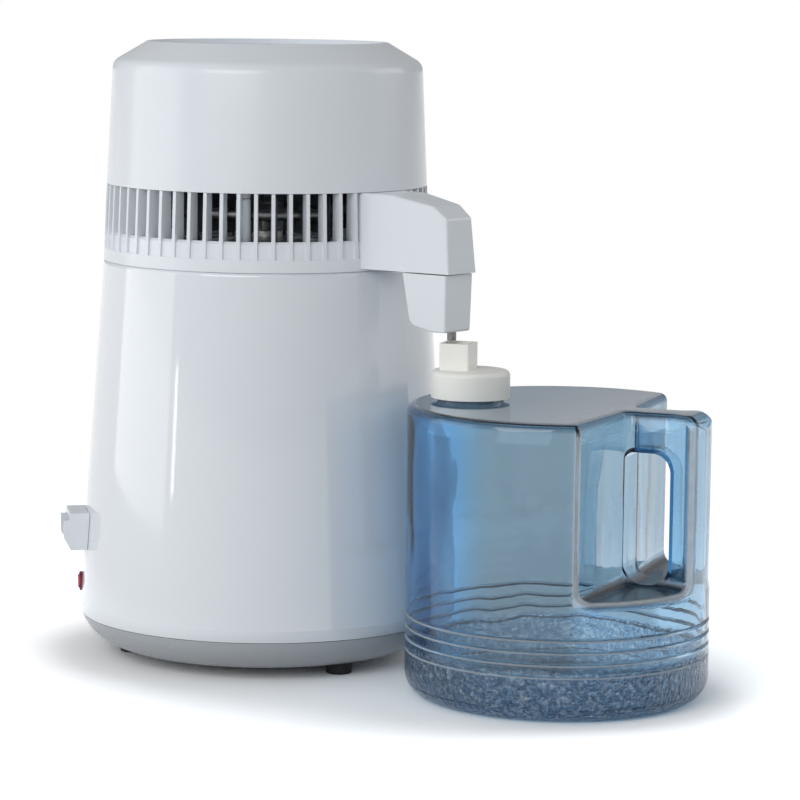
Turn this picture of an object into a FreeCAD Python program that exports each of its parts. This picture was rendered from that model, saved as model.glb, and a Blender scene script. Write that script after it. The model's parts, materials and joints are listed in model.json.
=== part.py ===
# Countertop water distiller: a boiler, a lift-off condenser head with a spout arm,
# and a carafe that stands under the spout. Millimetres, +Z up. The origin is on the
# counter, half way along the line from the back of the boiler to the front of the carafe;
# +X runs from the boiler's axis to the carafe's axis.
import FreeCAD
import Part
import math
import os

V = FreeCAD.Vector
UP = V(0, 0, 1)
HERE = V(0, 0, 0)

# ---------------------------------------------------------------- driving dimensions
# Boiler casing and base
casing_radius = 115.0           # at its widest, just above the base seam
casing_widest_z = 34.0
casing_taper = 15.0             # the top is this much smaller in radius
casing_top_z = 245.0
casing_wall = 1.2
casing_edge_round = 2.5
casing_flange_width = 8.0       # inward flange that carries the tank
base_reach = 34.0               # the casing and the pan curve in this far under the widest line
base_depth = 28.0               # and would lie level this far below it
base_seam_z = 27.0
base_seam_gap = 0.4
pan_wall = 2.5
pan_lip_height = 6.0
pan_lip_wall = 2.0
foot_height = 8.0
foot_radius = 8.5
foot_inset = 33.0               # foot centres in from the casing's widest radius
foot_count = 3
foot_turn = -21.0               # angle of the first foot from +X
foot_stem_radius = 3.8
foot_head_radius = 5.2
foot_head_height = 3.0
vent_slot_count = 24
vent_slot_inner = 38.0
vent_slot_outer = 66.0
vent_slot_width = 4.0
base_screw_inset = 27.0
base_screw_radius = 2.0
base_screw_head_radius = 4.0
base_screw_head_height = 2.2
base_screw_sink = 2.4           # recess for each screw's head
base_screw_bite = 5.0
tab_thickness = 2.0
tab_lift = 0.4                  # tabs above the pan's lip
tab_width = 14.0
tab_reach = 6.0                 # how far a tab runs in past its screw
post_radius = 6.0

# Boiling tank
tank_clearance = 12.0           # tank's inside radius to the casing's top radius
tank_wall = 0.8
tank_floor_z = 62.0
tank_corner = 4.0
tank_rim_width = 7.8
tank_lip_round = 1.6
tank_seam_rise = 1.0            # seam between wall and base, above the base's corner
stud_radius = 3.0
stud_length = 22.0

# Heater under the tank
heater_inset = 16.0             # heater plate's edge in from the tank's inside
heater_thickness = 4.0
element_inset = 17.0            # element's centre line in from the plate's edge
element_radius = 3.5
element_arc = 330.0
element_bend = 8.0
element_pin_drop = 13.0         # ends of the sheath below the ring
terminal_radius = 1.5
terminal_length = 6.0
clamp_overhang = 9.0            # clamp beyond the element's centre line
clamp_width = 16.0
clamp_thickness = 2.2
nut_across = 10.0
nut_height = 5.0
sensor_inset = 25.0             # thermostats' middles in from the element's centre line
sensor_radius = 8.0
sensor_height = 9.0
sensor_blade = (0.8, 6.3, 8.0)  # thickness, width, length of a push-on blade
sensor_blade_spacing = 7.0
fuse_inset = 12.6               # fuse's middle in from the element's centre line
fuse_turn = 45.0
fuse_radius = 2.0
fuse_length = 14.0
fuse_strap_width = 5.6
fuse_strap_wall = 0.8

# Power inlet and reset button, both on one side of the casing
service_turn = -137.0           # angle of the inlet and the button from +X
inlet_z = 79.0
inlet_height = 23.0
inlet_width = 31.0
inlet_proud = 11.0              # beyond the casing's widest radius
inlet_depth = 28.0
inlet_body_height = 20.0        # the part that passes through the casing
inlet_body_width = 27.0
inlet_step_height = 4.5         # upper lip, set back from the front
inlet_step_depth = 3.5
inlet_chamfer = 7.0
socket_width = 24.4
socket_height = 16.8
socket_depth = 19.0
pin_spacing = 7.0
pin_rise = 2.0
pin_size = (9.0, 2.0, 4.0)      # length, width, height of a flat pin
button_z = 45.8
button_radius = 4.4
button_proud = 2.2
button_travel = 2.5
button_flange_radius = 6.4
button_flange = 1.5
button_stem_radius = 1.5
bezel_radius = 5.9
bezel_flange = 1.2
bezel_tube_radius = 5.3
bezel_tube_length = 8.0
cutout_size = (12.0, 17.0, 17.0)
cutout_bore_depth = 7.0

# Condenser head: vent ring
ring_taper = 1.9
ring_height = 46.5
ring_wall = 3.0
shelf_width = 21.6              # shelf's inner edge in from the ring's top radius
shelf_thickness = 2.4
ring_band_height = 7.5          # plain band below the recessed panels
panel_recess = 1.2
panel_wall = 2.4
panel_top = 18.0                # top of the recessed panels above the casing
rib_count = 60
rib_turn = 2.0                  # angle of one rib from +X
rib_thickness = 2.2
rib_depth = 8.0
hoop_height = 6.0               # ring inside the cover's skirt that ties the ribs
hoop_wall = 5.0

# Spout arm and nose
arm_lift = 1.6                  # underside of the arm above the casing
arm_root_half = 20.8            # half width where the arm leaves the ring
arm_end_half = 12.6
arm_side_draft = 2.4            # each side leans in this much from bottom to top
arm_front_draft = 3.0
arm_flat_length = 17.0          # level stretch of the roof beside the ring
arm_crease_drop = 5.5           # roof's crease below the ring's top
arm_crease_from_end = 13.0
arm_front_drop = 12.5
arm_wall = 1.8
arm_round = 3.0
nozzle_to_arm_end = 7.6
nose_seam = 0.8
nose_side_step = 0.8
nose_front_step = 2.4
nose_length = 30.8
nose_drop = 34.6                # bottom of the nose below the arm
nose_heel_rise = 3.6
nose_heel_round = 7.0
nose_heel_lean = 5.0
nose_wall = 2.0
nose_draft = 0.8
nose_corner_round = 1.2
nose_collar_back = 8.0          # a short collar passes up into the arm round the nozzle
nose_collar_front = 3.4
nose_collar_width = 12.0
nose_collar_height = 4.4
nose_collar_wall = 1.2
nozzle_radius = 2.7
nozzle_wall = 0.5
nozzle_shift = 5.4              # the nozzle stands this far short of the chimney's centre
nozzle_show = 5.0               # length in view under the nose
nozzle_gap = 1.0                # nozzle tip above the chimney
nozzle_overlap = 12.0           # length of the nozzle inside the condenser tube

# Steam dome, seal and condenser
gasket_step = 0.7               # gasket's inner edge out from the tank's inside
gasket_width = 6.7
gasket_height = 3.8
dome_wall = 0.8
dome_rise = 9.0
chimney_bore = 9.0
chimney_height = 4.0
tube_radius = 3.5
tube_wall = 0.6
coil_drop = 14.5                # coil's plane below the ring's top
coil_start_radius = 32.0
coil_to_posts = 7.1             # free space between the coil and the head's posts
coil_turns = 3                  # full turns outside the first circle
coil_bend = 12.0
spout_bend = 13.0
fin_count = 30
fin_thickness = 0.8
fin_inner = 38.0
fin_overlap = 2.5               # fins beyond the shelf's inner edge
fin_reach = 11.0                # fins above and below the coil's plane
fin_skip = 17.0                 # no fins within this angle of the spout tube
bush_height = 6.0

# Cover, grille, fan and motor
cover_taper = 3.5
cover_shoulder_drop = 12.5
cover_shoulder_round = 8.0
cover_height = 86.5
cover_shoulder_width = 21.1     # rim's radius in from the shoulder's
cover_rim_width = 3.0
cover_rim_round = 1.2
cover_wall = 2.5
cover_intake_inset = 9.5
grille_recess = 3.0
grille_thickness = 2.5
grille_seat = 2.5
grille_rings = 8
grille_spokes = 12
grille_bar = 2.2
head_post_inset = 13.6          # from the ring's top radius
head_post_radius = 4.4
head_post_turn = -63.7
head_post_count = 4
head_post_drop = 3.5            # joint between the posts below the ring's top
head_post_round = 1.5
head_screw_radius = 1.9
head_screw_head_radius = 3.4
head_screw_bite = 8.0
bar_screw_bite = 7.0
motor_post_inset = 13.6         # from the cover's shoulder radius
motor_post_radius = 4.5
motor_post_turn = -18.7
motor_bar_overhang = 6.0
motor_bar_width = 18.0
motor_bar_thickness = 1.6
motor_drop = 44.0               # underside of the motor below the cover's top
stack_height = 16.0
stack_front = 24.0              # from the shaft's axis
stack_width = 54.0
limb_outer = 38.0               # the limb that carries the winding, behind the rotor
limb_inner = 26.0
window_width = 28.0
window_inner = 18.0
rotor_radius = 15.0
rotor_height = 14.0
rotor_air_gap = 0.4
bobbin_length = 26.0
bobbin_build = 5.8              # winding and bobbin round the limb
shaft_radius = 2.0
shaft_clearance = 0.05
bearing_plate = 3.0
bearing_width = 16.0
bolt_radius = 1.6
bolt_spacing = 42.0
bolt_head_radius = 3.0
bolt_head_height = 2.0
bolt_tail = 1.0                 # thread beyond the nut
shaft_tail = 0.5                # shaft beyond its upper bearing
fan_tip_gap = 10.1              # blade tips to the posts
fan_hub_radius = 12.0
fan_hub_height = 14.0
fan_drop = 26.0                 # underside of the fan's hub below the motor
fan_blade_count = 5
fan_blade_chord = 36.0
fan_blade_thickness = 1.6
fan_blade_pitch = 27.0

# Wiring inside the base
lead_radius = 1.1
lead_side = 11.0
lead_bend = 3.5
terminal_block = (16.0, 26.0, 13.5)     # along the service direction, across, high
terminal_block_shift = 3.0      # block's inner end out from the element's centre line

# Carafe and cap
carafe_radius = 89.5
carafe_wall = 2.4
carafe_edge_round = 5.0         # top edges and the mouths of the pockets
carafe_foot_round = 14.0
carafe_gap = 7.5                # free space between the casing and the carafe
handle_turn = 11.0              # the carafe's handle, from +X
handle_corner_round = 10.0      # outer top corner of the handle
carafe_stand_radius = 62.0
carafe_push_up = 3.0
rib_band_top_z = 49.0
band_rib_count = 4
band_rib_pitch = 7.0
band_rib_depth = 1.0
band_rib_width = 2.4
recess_left_inset = 45.0        # pockets beside the handle: left wall inside the drum's radius
recess_left_draft = 3.8         # degrees
recess_left_round = 4.0
recess_right_inset = 18.5       # and their right wall
recess_right_flare = 29.0       # degrees
recess_right_round = 9.0
recess_low_z = 70.3
recess_floor_round = 6.5
web_half = 10.0                 # half thickness of the handle's web between the pockets
grip_hole_inset = 18.0          # finger hole's right end inside the drum's radius
grip_hole_low_z = 71.5
grip_hole_drop = 24.0           # top of the finger hole below the carafe's top
grip_hole_round = 11.5
grip_hole_left_round = 4.0
cap_inset = 36.0                # cap axis inside the drum's radius
cap_turn = 22.0                 # the cap stands on the far side of the carafe's axis from this direction
chimney_turn = 15.3             # the square chimney's sides, from +X
neck_radius = 19.6
neck_wall = 2.2
cap_radius = 23.2
cap_clearance = 0.3
cap_lift = 2.3                  # gap between the carafe's top and the cap
cap_height = 16.1
cap_wall = 1.8
cap_round = 3.0
box_side = 18.3                 # square chimney on the cap
box_wall = 1.5
box_round = 1.2
box_height = 15.6
box_offset = 7.7
box_drain_radius = 3.0
cup_radius = 15.4
cup_wall = 1.2
cup_depth = 17.0
cup_flange = 1.0
cup_hole_radius = 1.5
sachet_height = 11.0
seal_height = 1.0
fit_gap = 0.3                   # between pieces of different bodies
assembly_gap = 0.2              # between loosely assembled pieces of one body
touch_gap = 0.1                 # between closely fitted pieces of one body

# ---------------------------------------------------------------- layout from the values above
# Radii, from the casing inwards and upwards
casing_top_radius = casing_radius - casing_taper
foot_circle = casing_radius - foot_inset
base_screw_circle = casing_radius - base_screw_inset
tank_radius = casing_top_radius - tank_clearance
heater_radius = tank_radius - heater_inset
element_circle = heater_radius - element_inset
sensor_circle = element_circle - sensor_inset
fuse_circle = element_circle - fuse_inset
terminal_block_radius = element_circle + terminal_block_shift
inlet_front = casing_radius + inlet_proud
inlet_back = inlet_front - inlet_depth
lead_drop_radius = inlet_back - lead_bend - lead_radius
gasket_inner = tank_radius + gasket_step
gasket_outer = gasket_inner + gasket_width
ring_bottom_radius = casing_top_radius
ring_top_radius = ring_bottom_radius - ring_taper
shelf_inner_radius = ring_top_radius - shelf_width
dome_cone_radius = shelf_inner_radius - dome_wall
fin_outer = shelf_inner_radius + fin_overlap
head_post_circle = ring_top_radius - head_post_inset
fan_radius = head_post_circle - head_post_radius - fan_tip_gap
coil_outer_radius = head_post_circle - head_post_radius - tube_radius - coil_to_posts
coil_pitch = (coil_outer_radius - coil_start_radius) / coil_turns
cover_shoulder_radius = ring_top_radius - cover_taper
cover_rim_radius = cover_shoulder_radius - cover_shoulder_width
cover_intake_radius = cover_rim_radius - cover_intake_inset
motor_post_circle = cover_shoulder_radius - motor_post_inset
motor_turn = motor_post_turn - 90

# Heights of the boiler and the head
tab_low = base_seam_z - base_seam_gap + pan_lip_height + tab_lift
tank_seam_z = tank_floor_z + tank_corner + tank_seam_rise
heater_low_z = tank_floor_z - tank_wall - heater_thickness
clamp_high_z = heater_low_z - element_radius - touch_gap
rim_top_z = casing_top_z + tank_wall
dome_flange_z = rim_top_z + gasket_height
shelf_low_z = dome_flange_z + dome_wall
shelf_high_z = shelf_low_z + shelf_thickness
dome_neck_z = dome_flange_z + dome_rise
chimney_top_z = dome_neck_z + chimney_height
panel_top_z = casing_top_z + panel_top
ring_top_z = casing_top_z + ring_height
head_post_top_z = ring_top_z - head_post_drop
screw_tip_z = head_post_top_z + head_screw_bite
coil_z = ring_top_z - coil_drop
fin_low_z = coil_z - fin_reach
fin_high_z = coil_z + fin_reach
cover_top_z = ring_top_z + cover_height
cover_shoulder_z = cover_top_z - cover_shoulder_drop
grille_low_z = cover_top_z - grille_recess - grille_thickness
stack_low_z = cover_top_z - motor_drop
fan_low_z = stack_low_z - fan_drop
motor_bar_top_z = stack_low_z + stack_height + bearing_plate + motor_bar_thickness

# Heights of the arm, and of the carafe under its nozzle
arm_bottom_z = casing_top_z + arm_lift
arm_crease_z = ring_top_z - arm_crease_drop
arm_front_top_z = ring_top_z - arm_front_drop
nose_bottom_z = arm_bottom_z - nose_drop
nozzle_low_z = nose_bottom_z - nozzle_show
coil_end_z = arm_bottom_z - nose_seam + nose_collar_height + assembly_gap
box_top_z = nozzle_low_z - nozzle_gap
cap_top_z = box_top_z - box_height
cap_low_z = cap_top_z - cap_height
carafe_top_z = cap_low_z - cap_lift
neck_top_z = cap_top_z - cap_wall - seal_height - cup_flange - fit_gap
grip_hole_high_z = carafe_top_z - grip_hole_drop

# Places on the carafe, along the handle's direction and the cap's
recess_left = carafe_radius - recess_left_inset
recess_right = carafe_radius - recess_right_inset
grip_hole_right = carafe_radius - grip_hole_inset
cap_offset = carafe_radius - cap_inset

# Places along the row
centre_distance = casing_radius + carafe_gap + carafe_radius
overall_length = casing_radius + centre_distance + carafe_radius
boiler_x = casing_radius - overall_length / 2
carafe_x = boiler_x + centre_distance
cap_x = centre_distance - cap_offset * math.cos(math.radians(cap_turn))
cap_y = -cap_offset * math.sin(math.radians(cap_turn))
chimney_x = cap_x - box_offset * math.cos(math.radians(chimney_turn))
chimney_y = cap_y - box_offset * math.sin(math.radians(chimney_turn))
arm_turn = math.degrees(math.atan2(chimney_y, chimney_x))
nozzle_reach = math.hypot(chimney_x, chimney_y) - nozzle_shift
arm_end = nozzle_reach + nozzle_to_arm_end


# ---------------------------------------------------------------- drawing helpers
def corner_arc(before, corner, after, radius):
    """Where a rounded corner starts, its arc, and where it ends."""
    to_before = (before - corner).normalize()
    to_after = (after - corner).normalize()
    half = to_before.getAngle(to_after) / 2
    start = corner + to_before * (radius / math.tan(half))
    end = corner + to_after * (radius / math.tan(half))
    inward = (to_before + to_after).normalize()
    middle = corner + inward * (radius / math.sin(half) - radius)
    return start, Part.Arc(start, middle, end).toShape(), end


def outline(*steps):
    """Closed wire in the XZ plane. A step is (x, z), (x, z, corner radius), or
    (via x, via z, x, z) for an arc through a point."""
    ends = [V(step[-2], 0, step[-1]) if len(step) == 4 else V(step[0], 0, step[1]) for step in steps]
    arrive = list(ends)
    leave = list(ends)
    arcs = [None] * len(steps)
    for i, step in enumerate(steps):
        if len(step) == 3 and step[2] > 0:
            after = ends[(i + 1) % len(steps)]
            arrive[i], arcs[i], leave[i] = corner_arc(ends[i - 1], ends[i], after, step[2])
    edges = []
    for i in range(len(steps)):
        if arcs[i]:
            edges.append(arcs[i])
        following = (i + 1) % len(steps)
        if len(steps[following]) == 4:
            via = V(steps[following][0], 0, steps[following][1])
            edges.append(Part.Arc(leave[i], via, arrive[following]).toShape())
        elif (leave[i] - arrive[following]).Length > 1e-6:
            edges.append(Part.LineSegment(leave[i], arrive[following]).toShape())
    return Part.Wire(edges)


def turned(*steps):
    """Solid of revolution about Z from an outline of radius and height."""
    return Part.Face(outline(*steps)).revolve(HERE, UP, 360)


def slab(width, *steps):
    """An outline in the XZ plane, extruded to a width centred on Y = 0."""
    face = Part.Face(outline(*steps))
    face.translate(V(0, -width / 2, 0))
    return face.extrude(V(0, width, 0))


def plan(low, high, *steps):
    """An outline seen from above, extruded from one height to another."""
    face = Part.Face(outline(*steps))
    face.rotate(HERE, V(1, 0, 0), -90)
    face.translate(V(0, 0, low))
    return face.extrude(V(0, 0, high - low))


def rod(radius, start, end):
    return Part.makeCylinder(radius, (end - start).Length, start, end - start)


def upright(radius, low, high, x=0.0, y=0.0):
    return Part.makeCylinder(radius, high - low, V(x, y, low))


def ring(outer, inner, low, high):
    return upright(outer, low, high).cut(upright(inner, low - 1, high + 1))


def block(x_low, x_high, width, z_low, z_high):
    """Box centred on Y = 0."""
    return Part.makeBox(x_high - x_low, width, z_high - z_low, V(x_low, -width / 2, z_low))


def turn(shape, angle):
    copy = shape.copy()
    copy.rotate(HERE, UP, angle)
    return copy


def spread(shape, count, first=0.0):
    """Equally spaced copies about Z."""
    return [turn(shape, first + 360 * i / count) for i in range(count)]


def moved(shape, x, y=0.0, z=0.0):
    copy = shape.copy()
    copy.translate(V(x, y, z))
    return copy


def group(shapes):
    return Part.makeCompound(shapes)


def joined(shapes):
    return shapes[0].multiFuse(shapes[1:]).removeSplitter()


def hexagon(across, low, high):
    corner = across / math.sqrt(3)
    points = [V(corner * math.cos(i * math.pi / 3), corner * math.sin(i * math.pi / 3), low) for i in range(7)]
    return Part.Face(Part.makePolygon(points)).extrude(V(0, 0, high - low))


def tube_bend(radius, centre, start, axis, angle):
    """Part of a torus: the tube's section at a start point, swept about an axis."""
    along = axis.cross(start - centre)
    disc = Part.Face(Part.Wire(Part.makeCircle(radius, start, along)))
    return disc.revolve(centre, axis, angle)


def on_circle(radius, angle, z):
    return V(radius * math.cos(math.radians(angle)), radius * math.sin(math.radians(angle)), z)


def inset_corner(before, corner, after, distance):
    """Corner of the lines parallel to two runs at a distance inside them."""
    here = V(corner[0], 0, corner[1])
    to_before = (V(before[0], 0, before[1]) - here).normalize()
    to_after = (V(after[0], 0, after[1]) - here).normalize()
    half = to_before.getAngle(to_after) / 2
    inner = here + (to_before + to_after).normalize() * (distance / math.sin(half))
    return inner.x, inner.z


def inset_outline(points, distance):
    """A convex outline moved inwards by a distance, or outwards when it is negative."""
    following = points[1:] + points[:1]
    return [inset_corner(points[i - 1], points[i], following[i], distance) for i in range(len(points))]


# ---------------------------------------------------------------- shared profiles
def casing_radius_at(z):
    """Outside radius of the straight part of the casing."""
    share = (z - casing_widest_z) / (casing_top_z - casing_widest_z)
    return casing_radius + (casing_top_radius - casing_radius) * share


def base_radius_at(z, inset=0.0):
    """Outside radius where the casing and the pan curve in, or of a surface set in from it."""
    share = (casing_widest_z - z) / (base_depth - inset)
    return casing_radius - base_reach + (base_reach - inset) * math.sqrt(1 - share ** 2)


def ring_radius_at(z):
    """Outside radius of the vent ring."""
    share = (z - casing_top_z) / (ring_top_z - casing_top_z)
    return ring_bottom_radius + (ring_top_radius - ring_bottom_radius) * share


# ---------------------------------------------------------------- boiler
def base_arc(low, high, inset=0.0):
    """Outline step for the curved side between two heights, going up."""
    middle = (low + high) / 2
    return (base_radius_at(middle, inset), middle, base_radius_at(high, inset), high)


def boiler_casing():
    low = base_seam_z
    inner_top = casing_top_z - casing_wall
    flange_inner = casing_top_radius - casing_flange_width
    inner_low_radius = base_radius_at(low, casing_wall)
    inner_middle = (low + casing_widest_z) / 2
    shell = turned(
        (inner_low_radius, low),
        (base_radius_at(low), low),
        base_arc(low, casing_widest_z),
        (casing_top_radius, casing_top_z, casing_edge_round),
        (flange_inner, casing_top_z),
        (flange_inner, inner_top),
        (casing_top_radius - casing_wall, inner_top, casing_edge_round - casing_wall),
        (casing_radius - casing_wall, casing_widest_z),
        (base_radius_at(inner_middle, casing_wall), inner_middle, inner_low_radius, low))
    tab_start = base_screw_circle - tab_reach
    tab = block(tab_start, casing_radius, tab_width, tab_low, tab_low + tab_thickness)
    screw_hole = upright(
        base_screw_radius + touch_gap, tab_low - 1, tab_low + tab_thickness + 1, base_screw_circle)
    tab = tab.cut(screw_hole)
    inside = upright(base_radius_at(tab_low, casing_wall / 2), 0, casing_top_z)
    tabs = spread(tab.common(inside), foot_count, foot_turn + 180 / foot_count)
    shell = joined([shell] + tabs)
    inlet_hole = block(inlet_back, inlet_front, inlet_body_width + 2 * assembly_gap,
                       inlet_z - inlet_body_height / 2 - assembly_gap,
                       inlet_z + inlet_body_height / 2 + assembly_gap)
    button_hole = rod(bezel_tube_radius + assembly_gap, V(button_face() - bezel_tube_length, 0, button_z),
                      V(button_face() + bezel_tube_length, 0, button_z))
    return shell.cut(turn(inlet_hole, service_turn)).cut(turn(button_hole, service_turn))


def base_pan():
    low = foot_height
    floor = low + pan_wall
    seam = base_seam_z - base_seam_gap
    lip = base_radius_at(seam, casing_wall) - assembly_gap
    inner_seam = min(base_radius_at(seam, pan_wall), lip - pan_lip_wall)
    inner_floor = base_radius_at(floor, pan_wall)
    middle = (floor + seam) / 2
    inner_middle = base_radius_at(middle, pan_wall) - assembly_gap
    pan = turned(
        (0, low), (base_radius_at(low), low), base_arc(low, seam),
        (lip, seam), (lip, seam + pan_lip_height), (lip - pan_lip_wall, seam + pan_lip_height),
        (inner_seam, seam),
        (inner_middle, middle, inner_floor, floor),
        (0, floor))
    post = upright(post_radius, floor - 1, tab_low, base_screw_circle)
    posts = spread(post, foot_count, foot_turn + 180 / foot_count)
    pan = joined([pan] + posts)
    slot = plan(low - 1, floor + 1,
                (vent_slot_inner, -vent_slot_width / 2), (vent_slot_outer, -vent_slot_width / 2),
                (vent_slot_outer, vent_slot_width / 2), (vent_slot_inner, vent_slot_width / 2))
    screw_hole = upright(base_screw_radius + assembly_gap, low - 1, tab_low + 1, base_screw_circle)
    head_recess = upright(
        base_screw_head_radius + assembly_gap, low - 1, low + base_screw_sink, base_screw_circle)
    foot_hole = upright(foot_stem_radius + assembly_gap, low - 1, floor + 1, foot_circle)
    cuts = spread(slot, vent_slot_count)
    cuts += spread(screw_hole, foot_count, foot_turn + 180 / foot_count)
    cuts += spread(head_recess, foot_count, foot_turn + 180 / foot_count)
    cuts += spread(foot_hole, foot_count, foot_turn)
    return pan.cut(cuts)


def rubber_feet():
    floor = foot_height + pan_wall
    foot = turned(
        (0, 0), (foot_radius - 0.8, 0, 1.0), (foot_radius, foot_height), (foot_stem_radius, foot_height),
        (foot_stem_radius, floor), (foot_head_radius, floor), (foot_stem_radius - 1, floor + foot_head_height),
        (0, floor + foot_head_height))
    return group(spread(moved(foot, foot_circle), foot_count, foot_turn))


def base_screws():
    head_top = foot_height + base_screw_sink
    head_low = head_top - base_screw_head_height
    head_edge = (head_top + head_low) / 2
    tip = tab_low + tab_thickness + base_screw_bite / 2
    head = turned((0, head_low), (base_screw_head_radius * 0.7, head_low), (base_screw_head_radius, head_edge),
                  (base_screw_head_radius, head_top), (0, head_top))
    shank = upright(base_screw_radius, head_top, tip, base_screw_circle)
    screw = joined([shank, moved(head, base_screw_circle)])
    return group(spread(screw, foot_count, foot_turn + 180 / foot_count))


def boiling_tank():
    """The tank's rolled wall, with the rim that lies on the casing's flange."""
    outer = tank_radius + tank_wall
    rim = outer + tank_rim_width
    return turned(
        (tank_radius, tank_seam_z), (outer, tank_seam_z), (outer, casing_top_z),
        (rim, casing_top_z), (rim, rim_top_z), (tank_radius, rim_top_z, tank_lip_round))


def tank_base():
    """The tank's pressed base, welded to the wall, with the stud that clamps the heater."""
    outer = tank_radius + tank_wall
    under = tank_floor_z - tank_wall
    dish = turned(
        (0, under), (outer, under, tank_corner + tank_wall), (outer, tank_seam_z),
        (tank_radius, tank_seam_z), (tank_radius, tank_floor_z, tank_corner), (0, tank_floor_z))
    return dish.fuse(upright(stud_radius, under - stud_length, under))


def element_end(side):
    """An end of the element's open ring, and the way the sheath leaves it."""
    gap = (360 - element_arc) / 2
    along = V(math.sin(math.radians(gap)), -side * math.cos(math.radians(gap)), 0)
    return on_circle(element_circle, side * gap, heater_low_z), along


def element_foot(side):
    """The lower end of the sheath, where its pin comes out."""
    end, along = element_end(side)
    return end + along * element_bend - UP * element_pin_drop


def element_path(radius):
    """Sheathed heating element: an open ring whose two ends bend down."""
    end, along = element_end(1)
    pieces = [tube_bend(radius, V(0, 0, heater_low_z), end, UP, element_arc)]
    for side in (-1, 1):
        end, along = element_end(side)
        foot = element_foot(side)
        pieces.append(tube_bend(radius, end - UP * element_bend, end, UP.cross(along), 90))
        pieces.append(upright(radius, foot.z, heater_low_z - element_bend, foot.x, foot.y))
    return joined(pieces)


def heater_element():
    pins = []
    for side in (-1, 1):
        foot = element_foot(side)
        pins.append(upright(terminal_radius, foot.z - terminal_length, foot.z, foot.x, foot.y))
    return joined([element_path(element_radius)] + pins)


def heater_plate():
    plate = ring(heater_radius, stud_radius + assembly_gap, heater_low_z, tank_floor_z - tank_wall)
    return plate.cut(element_path(element_radius + touch_gap))


def heater_clamp():
    half = element_circle + clamp_overhang
    bar = Part.makeBox(clamp_width, 2 * half, clamp_thickness,
                       V(-clamp_width / 2, -half, clamp_high_z - clamp_thickness))
    return bar.cut(upright(stud_radius + assembly_gap, 0, clamp_high_z + 1))


def clamp_nut():
    high = clamp_high_z - clamp_thickness
    return hexagon(nut_across, high - nut_height, high).cut(upright(stud_radius + shaft_clearance, 0, high + 1))


def disc_thermostat():
    """Bimetal disc thermostat with two blades, on the heater plate."""
    high = heater_low_z
    body = turned(
        (0, high), (sensor_radius, high), (sensor_radius, high - 2.5), (sensor_radius - 1.2, high - 2.5),
        (sensor_radius - 1.2, high - sensor_height), (0, high - sensor_height))
    thick, wide, long = sensor_blade
    parts = [body]
    for side in (-1, 1):
        x = side * sensor_blade_spacing / 2
        parts.append(Part.makeBox(thick, wide, long, V(x - thick / 2, -wide / 2, high - sensor_height - long)))
    return joined(parts)


def working_thermostat():
    return moved(disc_thermostat(), sensor_circle)


def boil_dry_thermostat():
    return moved(disc_thermostat(), -sensor_circle)


def fuse_middle():
    return on_circle(fuse_circle, fuse_turn, heater_low_z - fuse_radius - assembly_gap)


def thermal_fuse():
    """Fusible link lying under the heater plate, in its strap."""
    reach = V(fuse_length / 2, 0, 0)
    return rod(fuse_radius, fuse_middle() - reach, fuse_middle() + reach)


def fuse_strap():
    """Saddle round the fuse, with a foot on each side against the heater plate."""
    place = fuse_middle()
    inner = fuse_radius + touch_gap
    outer = inner + fuse_strap_wall
    reach = V(fuse_strap_width / 2, 0, 0)
    loop = rod(outer, place - reach, place + reach)
    feet = Part.makeBox(fuse_strap_width, outer * 4, fuse_strap_wall,
                        V(place.x - reach.x, place.y - outer * 2, heater_low_z - fuse_strap_wall))
    bore = rod(inner, place - reach * 2, place + reach * 2)
    above = Part.makeBox(fuse_strap_width * 3, outer * 6, outer * 4,
                         V(place.x - reach.x * 3, place.y - outer * 3, heater_low_z))
    return loop.fuse(feet).cut(bore).cut(above).removeSplitter()


# ---------------------------------------------------------------- inlet and reset button
def cone_inside(offset):
    """The space inside the casing's outer surface, grown by an offset."""
    low = casing_widest_z
    return turned(
        (0, low), (casing_radius_at(low) + offset, low),
        (casing_radius_at(casing_top_z) + offset, casing_top_z), (0, casing_top_z))


def power_inlet():
    low = inlet_z - inlet_height / 2
    high = inlet_z + inlet_height / 2
    step_x = inlet_front - inlet_step_depth
    flange = slab(inlet_width,
                  (casing_radius * 0.9, low), (inlet_front - inlet_chamfer * 0.6, low, 1.0),
                  (inlet_front, low + inlet_chamfer * 1.1, 1.0), (inlet_front, high - inlet_step_height, 0.8),
                  (step_x, high - inlet_step_height), (step_x, high, 1.0), (casing_radius * 0.9, high))
    flange = flange.cut(cone_inside(assembly_gap))
    body = block(inlet_back, inlet_front - 5, inlet_body_width,
                 inlet_z - inlet_body_height / 2, inlet_z + inlet_body_height / 2)
    socket = block(inlet_front - socket_depth, inlet_front + 1, socket_width,
                   inlet_z - socket_height / 2, inlet_z + socket_height / 2)
    housing = flange.fuse(body).removeSplitter().cut(socket)
    return turn(housing, service_turn)


def inlet_pins():
    long, wide, high = pin_size
    root = inlet_front - socket_depth
    pins = []
    for side in (-1, 0, 1):
        z = inlet_z + (pin_rise if side == 0 else -pin_rise) - high / 2
        pin = Part.makeBox(long, wide, high, V(root, side * pin_spacing - wide / 2, z))
        pins.append(turn(pin, service_turn))
    return group(pins)


def button_face():
    """Distance of the casing's outside from the boiler's axis at the button."""
    return casing_radius_at(button_z)


def button_bezel():
    face = button_face()
    collar = rod(bezel_radius, V(face - 1, 0, button_z), V(face + bezel_flange, 0, button_z))
    collar = collar.cut(cone_inside(touch_gap))
    tube = rod(bezel_tube_radius, V(face - bezel_tube_length, 0, button_z), V(face + 0.5, 0, button_z))
    bore = rod(button_radius + fit_gap, V(face - bezel_tube_length - 1, 0, button_z),
               V(face + bezel_flange + 1, 0, button_z))
    return turn(collar.fuse(tube).removeSplitter().cut(bore), service_turn)


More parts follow.
